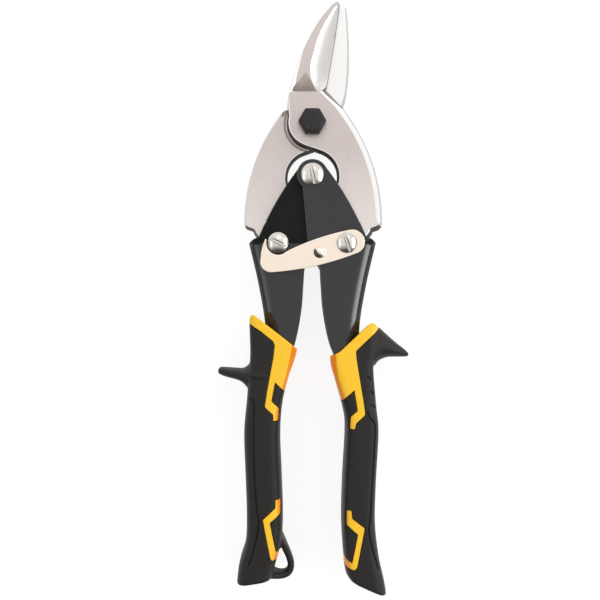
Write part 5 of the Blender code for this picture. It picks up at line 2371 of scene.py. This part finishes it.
RIGHT_GRIP = Grip(
    side=Side.RIGHT,
    stations=(
        (0.0168, -0.0902, 0.0235, 34.4),
        (0.0173, -0.0973, 0.0208, 27.6),
        (0.0175, -0.1048, 0.0167, 22.0),
        (0.0199, -0.1193, 0.0137, 10.0),
        (0.0207, -0.1290, 0.0137, 1.5),
        (0.0196, -0.1494, 0.0137, 0.0),
        (0.0192, -0.1660, 0.0137, 2.0),
        (0.0202, -0.1788, 0.0144, 0.0),
        (0.0213, -0.1861, 0.0155, -4.6),
        (0.0226, -0.1916, 0.0176, -24.0),
    ),
    horns=(
        (
            (0.0210, -0.0958, 0.0074, 0.0108),
            (0.0244, -0.0935, 0.0083, 0.0110),
            (0.0258, -0.0932, 0.0085, 0.0108),
            (0.0278, -0.0923, 0.0071, 0.0103),
            (0.0311, -0.0931, 0.0049, 0.0094),
            (0.0347, -0.0946, 0.0032, 0.0082),
            (0.0375, -0.0957, 0.0021, 0.0070),
            (0.0393, -0.0964, 0.0013, 0.0056),
            (0.0402, -0.0968, 0.0007, 0.0044),
        ),
    ),
    inlays=(
        (
            (0.0285, -0.0847), (0.0260, -0.0790), (0.0030, -0.0940), (0.0030, -0.1033),
            (0.0104, -0.1168), (0.0171, -0.1106), (0.0185, -0.1192), (0.0157, -0.1216),
            (0.0153, -0.1265), (0.0172, -0.1267), (0.0177, -0.1243), (0.0214, -0.1208),
            (0.0208, -0.1160), (0.0179, -0.0984), (0.0176, -0.0948), (0.0232, -0.0895),
            (0.0269, -0.0862),
        ),
        (
            (0.0140, -0.1599), (0.0159, -0.1599), (0.0160, -0.1631), (0.0212, -0.1670),
            (0.0181, -0.1831), (0.0171, -0.1841), (0.0146, -0.1835), (0.0100, -0.1811),
            (0.0100, -0.1772), (0.0136, -0.1799), (0.0162, -0.1815), (0.0186, -0.1695),
            (0.0140, -0.1656),
        ),
    ),
    grooves=(
        ((0.0222, -0.1051), (0.0230, -0.1058), (0.0238, -0.1064)),
        ((0.0234, -0.1111), (0.0242, -0.1117), (0.0250, -0.1123)),
        ((0.0238, -0.1166), (0.0248, -0.1173), (0.0258, -0.1180)),
        (
            (0.0224, -0.1196), (0.0234, -0.1220), (0.0250, -0.1241), (0.0254, -0.1278),
            (0.0248, -0.1404), (0.0242, -0.1514), (0.0234, -0.1636), (0.0229, -0.1677),
            (0.0238, -0.1730), (0.0250, -0.1778), (0.0272, -0.1845),
        ),
    ),
    cap=(
        (0.0020, -0.1003), (0.0079, -0.0972), (0.0116, -0.0952), (0.0234, -0.0842), (0.0246, -0.0835),
        (0.0264, -0.0842), (0.0300, -0.0880), (0.0450, -0.0950), (0.0450, -0.2100), (-0.0100, -0.2100),
        (-0.0100, -0.1003),
    ),
)

LEFT_GRIP = Grip(
    side=Side.LEFT,
    stations=(
        (-0.0161, -0.0868, 0.0244, -34.2),
        (-0.0168, -0.0950, 0.0206, -29.0),
        (-0.0179, -0.1027, 0.0174, -24.0),
        (-0.0197, -0.1150, 0.0149, -9.0),
        (-0.0209, -0.1290, 0.0149, -3.0),
        (-0.0203, -0.1469, 0.0149, 0.0),
        (-0.0198, -0.1620, 0.0149, 0.0),
        (-0.0202, -0.1737, 0.0149, 0.0),
        (-0.0226, -0.1826, 0.0154, 3.0),
        (-0.0238, -0.1892, 0.0152, 9.0),
    ),
    horns=(
        (
            (-0.0220, -0.1056, 0.0060, 0.0096),
            (-0.0257, -0.1060, 0.0060, 0.0094),
            (-0.0273, -0.1060, 0.0044, 0.0090),
            (-0.0293, -0.1055, 0.0028, 0.0084),
            (-0.0320, -0.1049, 0.0023, 0.0076),
            (-0.0362, -0.1042, 0.0019, 0.0064),
            (-0.0385, -0.1037, 0.0015, 0.0052),
            (-0.0393, -0.1036, 0.0009, 0.0042),
        ),
        (
            (-0.0178, -0.1053, 0.0016, 0.0117),
            (-0.0195, -0.1052, 0.0023, 0.0123),
            (-0.0220, -0.1051, 0.0025, 0.0124),
            (-0.0247, -0.1050, 0.0025, 0.0119),
            (-0.0270, -0.1049, 0.0023, 0.0105),
            (-0.0292, -0.1048, 0.0020, 0.0086),
        ),
    ),
    inlays=(
        (
            (-0.0040, -0.0910), (-0.0040, -0.0952), (-0.0098, -0.1131), (-0.0153, -0.1074),
            (-0.0168, -0.1153), (-0.0138, -0.1182), (-0.0141, -0.1233), (-0.0160, -0.1233),
            (-0.0160, -0.1208), (-0.0194, -0.1176), (-0.0183, -0.1106), (-0.0159, -0.0976),
            (-0.0153, -0.0925), (-0.0159, -0.0909), (-0.0206, -0.0870), (-0.0266, -0.0831),
            (-0.0255, -0.0780),
        ),
        (
            (-0.0151, -0.1556), (-0.0132, -0.1556), (-0.0132, -0.1613), (-0.0175, -0.1648),
            (-0.0150, -0.1772), (-0.0130, -0.1773), (-0.0131, -0.1801), (-0.0165, -0.1805),
            (-0.0171, -0.1795), (-0.0202, -0.1636), (-0.0151, -0.1589),
        ),
    ),
    grooves=(
        (
            (-0.0276, -0.1137), (-0.0262, -0.1140), (-0.0249, -0.1145), (-0.0241, -0.1156),
            (-0.0239, -0.1172), (-0.0239, -0.1192), (-0.0240, -0.1230), (-0.0240, -0.1310),
            (-0.0238, -0.1432), (-0.0234, -0.1514), (-0.0226, -0.1595), (-0.0221, -0.1630),
            (-0.0221, -0.1660), (-0.0230, -0.1717), (-0.0246, -0.1778), (-0.0261, -0.1822),
        ),
    ),
    loop=(
        (-0.0140, -0.1720, 0.0070, 0.0012), (-0.0113, -0.1780, 0.0042, 0.0013),
        (-0.0096, -0.1820, 0.0034, 0.0013), (-0.0089, -0.1855, 0.0032, 0.0014),
        (-0.0100, -0.1882, 0.0032, 0.0014), (-0.0132, -0.1893, 0.0038, 0.0014),
        (-0.0180, -0.1886, 0.0060, 0.0015), (-0.0215, -0.1878, 0.0085, 0.0016),
    ),
    cap=(
        (0.0100, -0.1068), (-0.0094, -0.0918), (-0.0241, -0.0804), (-0.0250, -0.0803), (-0.0257, -0.0809),
        (-0.0260, -0.0822), (-0.0275, -0.0860), (-0.0450, -0.0950), (-0.0450, -0.2100), (0.0100, -0.2100),
    ),
)


@dataclass
class Studio:
    """Camera, floor and soft light."""

    camera_place: tuple[float, float, float] = (-0.00555, -0.00195, 0.34855)
    lens: float = 47.96
    sensor: float = 36.0
    clip_start: float = 0.01
    floor_size: float = 6.0
    floor_shade: float = 0.19
    floor_glow: float = 0.87
    floor_light: float = 0.8
    foot_levels: tuple = (-0.80, -0.30, 0.06, 0.95)
    side_levels: tuple = (0.80, 1.0, 1.0, 0.25)
    far_levels: tuple = (0.0, 0.9, 0.0, 0.08)
    dome_tone: tuple = (1.0, 0.995, 0.99, 1.0)
    horizon: float = 0.06
    lamps: tuple = (
        ("key_light", (0.10, 0.75, 0.75), (0.7, 0.5), 0.5),
        ("right_strip", (0.70, 0.03, 0.485), (0.9, 0.20), 3.7),
        ("left_strip", (-0.70, 0.03, 0.485), (0.9, 0.20), 0.6),
    )

    def camera(self) -> None:
        """Look straight down with the jaws at the top."""
        bpy.ops.object.camera_add(location=self.camera_place, rotation=(0, 0, 0))
        camera = bpy.context.object
        camera.name = "studio_camera"
        camera.data.lens = self.lens
        camera.data.sensor_width = self.sensor
        camera.data.clip_start = self.clip_start
        bpy.context.scene.camera = camera

    def floor(self) -> None:
        """A white floor that keeps a faint shadow."""
        bpy.ops.mesh.primitive_plane_add(size=self.floor_size, location=(0, 0, 0))
        floor = bpy.context.object
        floor.name = "studio_floor"
        finish = bpy.data.materials.new("white_floor")
        finish.use_nodes = True
        weave = Weave(finish.node_tree)
        finish.node_tree.nodes.clear()
        out = weave.node("ShaderNodeOutputMaterial")
        seen = weave.rays("Is Camera Ray", "Is Glossy Ray", "Is Transmission Ray")
        soft = weave.put(weave.node("ShaderNodeBsdfDiffuse"), Color=(*[self.floor_shade] * 3, 1.0))
        glow = weave.put(weave.node("ShaderNodeEmission"), Color=(1.0, 1.0, 1.0, 1.0), Strength=self.floor_glow)
        shown = weave.node("ShaderNodeAddShader")
        weave.link(soft.outputs[0], shown.inputs[0])
        weave.link(glow.outputs[0], shown.inputs[1])
        plain = weave.put(weave.node("ShaderNodeBsdfDiffuse"), Color=(*[self.floor_light] * 3, 1.0))
        pick = weave.node("ShaderNodeMixShader")
        weave.link(seen, pick.inputs[0])
        weave.link(plain.outputs[0], pick.inputs[1])
        weave.link(shown.outputs[0], pick.inputs[2])
        weave.link(pick.outputs[0], out.inputs["Surface"])
        floor.data.materials.append(finish)

    def dome(self) -> None:
        """Even light from overhead and beyond the jaws, dim from the low sides and the foot, on a white backdrop."""
        world = bpy.data.worlds.new("studio_dome")
        bpy.context.scene.world = world
        world.use_nodes = True
        weave = Weave(world.node_tree)
        back = world.node_tree.nodes["Background"]
        x, y, z = weave.parts(weave.node("ShaderNodeTexCoord").outputs["Generated"])
        sides = weave.span(weave.math("ABSOLUTE", x), *self.side_levels)
        level = weave.math("MULTIPLY", weave.span(y, *self.foot_levels), sides)
        level = weave.math("ADD", level, weave.span(y, *self.far_levels))
        horizon = weave.span(z, self.horizon, 2 * self.horizon, 1.0, 0.0)
        mirrored = weave.math("MULTIPLY", weave.rays("Is Glossy Ray", "Is Transmission Ray"), horizon)
        seen = weave.math("MAXIMUM", weave.rays("Is Camera Ray"), mirrored)
        weave.put(back, Color=self.dome_tone, Strength=weave.math("MAXIMUM", level, seen))

    @staticmethod
    def lamp(name: str, place: Sequence[float], size: tuple[float, float], power: float) -> None:
        """A rectangular soft lamp aimed at the tool.

        Args:
            name: Name of the lamp.
            place: Where it hangs.
            size: Its two sides.
            power: Its power in watts.
        """
        bpy.ops.object.light_add(type="AREA", location=place)
        lamp = bpy.context.object
        lamp.name = name
        lamp.data.shape = "RECTANGLE"
        lamp.data.size, lamp.data.size_y = size
        lamp.data.energy = power
        lamp.rotation_euler = Vector(place).to_track_quat("Z", "Y").to_euler()

    def lights(self) -> None:
        """Key light beyond the jaws, a strip on the right and a weaker one on the left."""
        for lamp in self.lamps:
            self.lamp(*lamp)

    def build(self) -> None:
        """Set up the whole studio."""
        bpy.context.scene.view_settings.view_transform = "Standard"
        self.camera()
        self.floor()
        self.dome()
        self.lights()
        LOG.info("studio ready")


class Snips:
    """The whole tool, put together in order."""

    def __init__(self, nodes: dict[str, Piece]) -> None:
        """Find the place of the tool and mix its finishes.

        Args:
            nodes: The frame's objects by node.
        """
        self.nodes = nodes
        self.shop = Shop()
        self.finishes = Finishes.mixed()

    def blades(self) -> None:
        """Both blades with their bolt and nut."""
        steel = self.finishes
        looks = (steel.satin, steel.ground, steel.hollow, steel.edge, steel.step, steel.rim, steel.rim_dark)
        self.shop.hand_over(FrontBlade().build(), "front_blade", "front_blade", "satin_steel", looks)
        self.shop.hand_over(RearBlade().build(), "rear_blade", "rear_blade", "satin_steel", looks)
        pivot = MainPivot()
        oxide = (self.finishes.oxide,)
        self.shop.hand_over(pivot.bolt(), "main_pivot_bolt", "front_blade", "black_oxide", oxide)
        self.shop.hand_over(pivot.nut_solid(), "main_pivot_nut", "front_blade", "black_oxide", oxide)

    def handles(self) -> None:
        """Both channels."""
        looks = (self.finishes.coating, self.finishes.coating_dull)
        for side in Side:
            piece = Channel(side).build()
            self.shop.hand_over(piece, f"{side.label}_channel", f"{side.label}_handle", "black_coating", looks)

    def pivots(self) -> None:
        """Screws, nuts, spacers and sleeve."""
        far, near = -LAYERS.latch_back, -LAYERS.far_inner
        head = LAYERS.latch_front + LAYERS.clearance
        screws = (
            (PivotScrew("handle_pivot", PIVOTS.handle, 0.0046, LAYERS.latch_back, far, math.radians(102)), "right"),
            (PivotScrew("right_pivot", PIVOTS.blade(Side.RIGHT), 0.0042, head, near, math.radians(108)), "right"),
            (PivotScrew("left_pivot", PIVOTS.blade(Side.LEFT), 0.0042, head, far, math.radians(-25), True), "left"),
        )
        looks = (self.finishes.nickel, self.finishes.slot)
        for screw, side in screws:
            body = f"{side}_handle"
            self.shop.hand_over(screw.screw(), f"{screw.name}_screw", body, "bright_nickel", looks)
            self.shop.hand_over(screw.nut(), f"{screw.name}_nut", body, "bright_nickel", looks)
        for name, node in self.nodes.items():
            if name.endswith("_spacer") or name.endswith("_sleeve") and "pivot" in name:
                self.shop.dress(node, looks[:1])
                LOG.info("%s dressed", name)

    def latch(self) -> None:
        """The latch."""
        looks = (self.finishes.latch, self.finishes.slot)
        self.shop.hand_over(Latch().build(), "latch", "latch", "bright_nickel", looks)

    def spring(self) -> None:
        """The opening spring."""
        spring = OpeningSpring()
        piece = self.shop.settle(spring.build())
        self.shop.dress(piece, (self.finishes.spring,))
        middle = self.shop.offset + Vector((*PIVOTS.handle, 0))
        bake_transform(piece)
        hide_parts("opening_spring")
        LOG.info("%s: %d faces", piece.name, len(piece.data.polygons))

    def grips(self) -> None:
        """Both grips."""
        for grip in (RIGHT_GRIP, LEFT_GRIP):
            sleeve, cover = grip.build()
            name, body = grip.side.label, f"{grip.side.label}_handle"
            yellow, rubber = (self.finishes.yellow,), (self.finishes.rubber,)
            self.shop.hand_over(sleeve, f"{name}_grip_sleeve", body, "yellow_moulding", yellow)
            self.shop.hand_over(cover, f"{name}_grip_cover", body, "black_rubber", rubber)

    def build(self) -> None:
        """Build every piece in order."""
        self.blades()
        self.handles()
        self.pivots()
        self.latch()
        self.spring()
        self.grips()


def main() -> None:
    """Load the frame and build the studio and the tool."""
    logging.basicConfig(level=logging.INFO, format="%(name)s: %(message)s")
    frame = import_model()
    Studio().build()
    Snips(frame["nodes"]).build()
    LOG.info("boxes written")


if __name__ == "__main__":
    main()
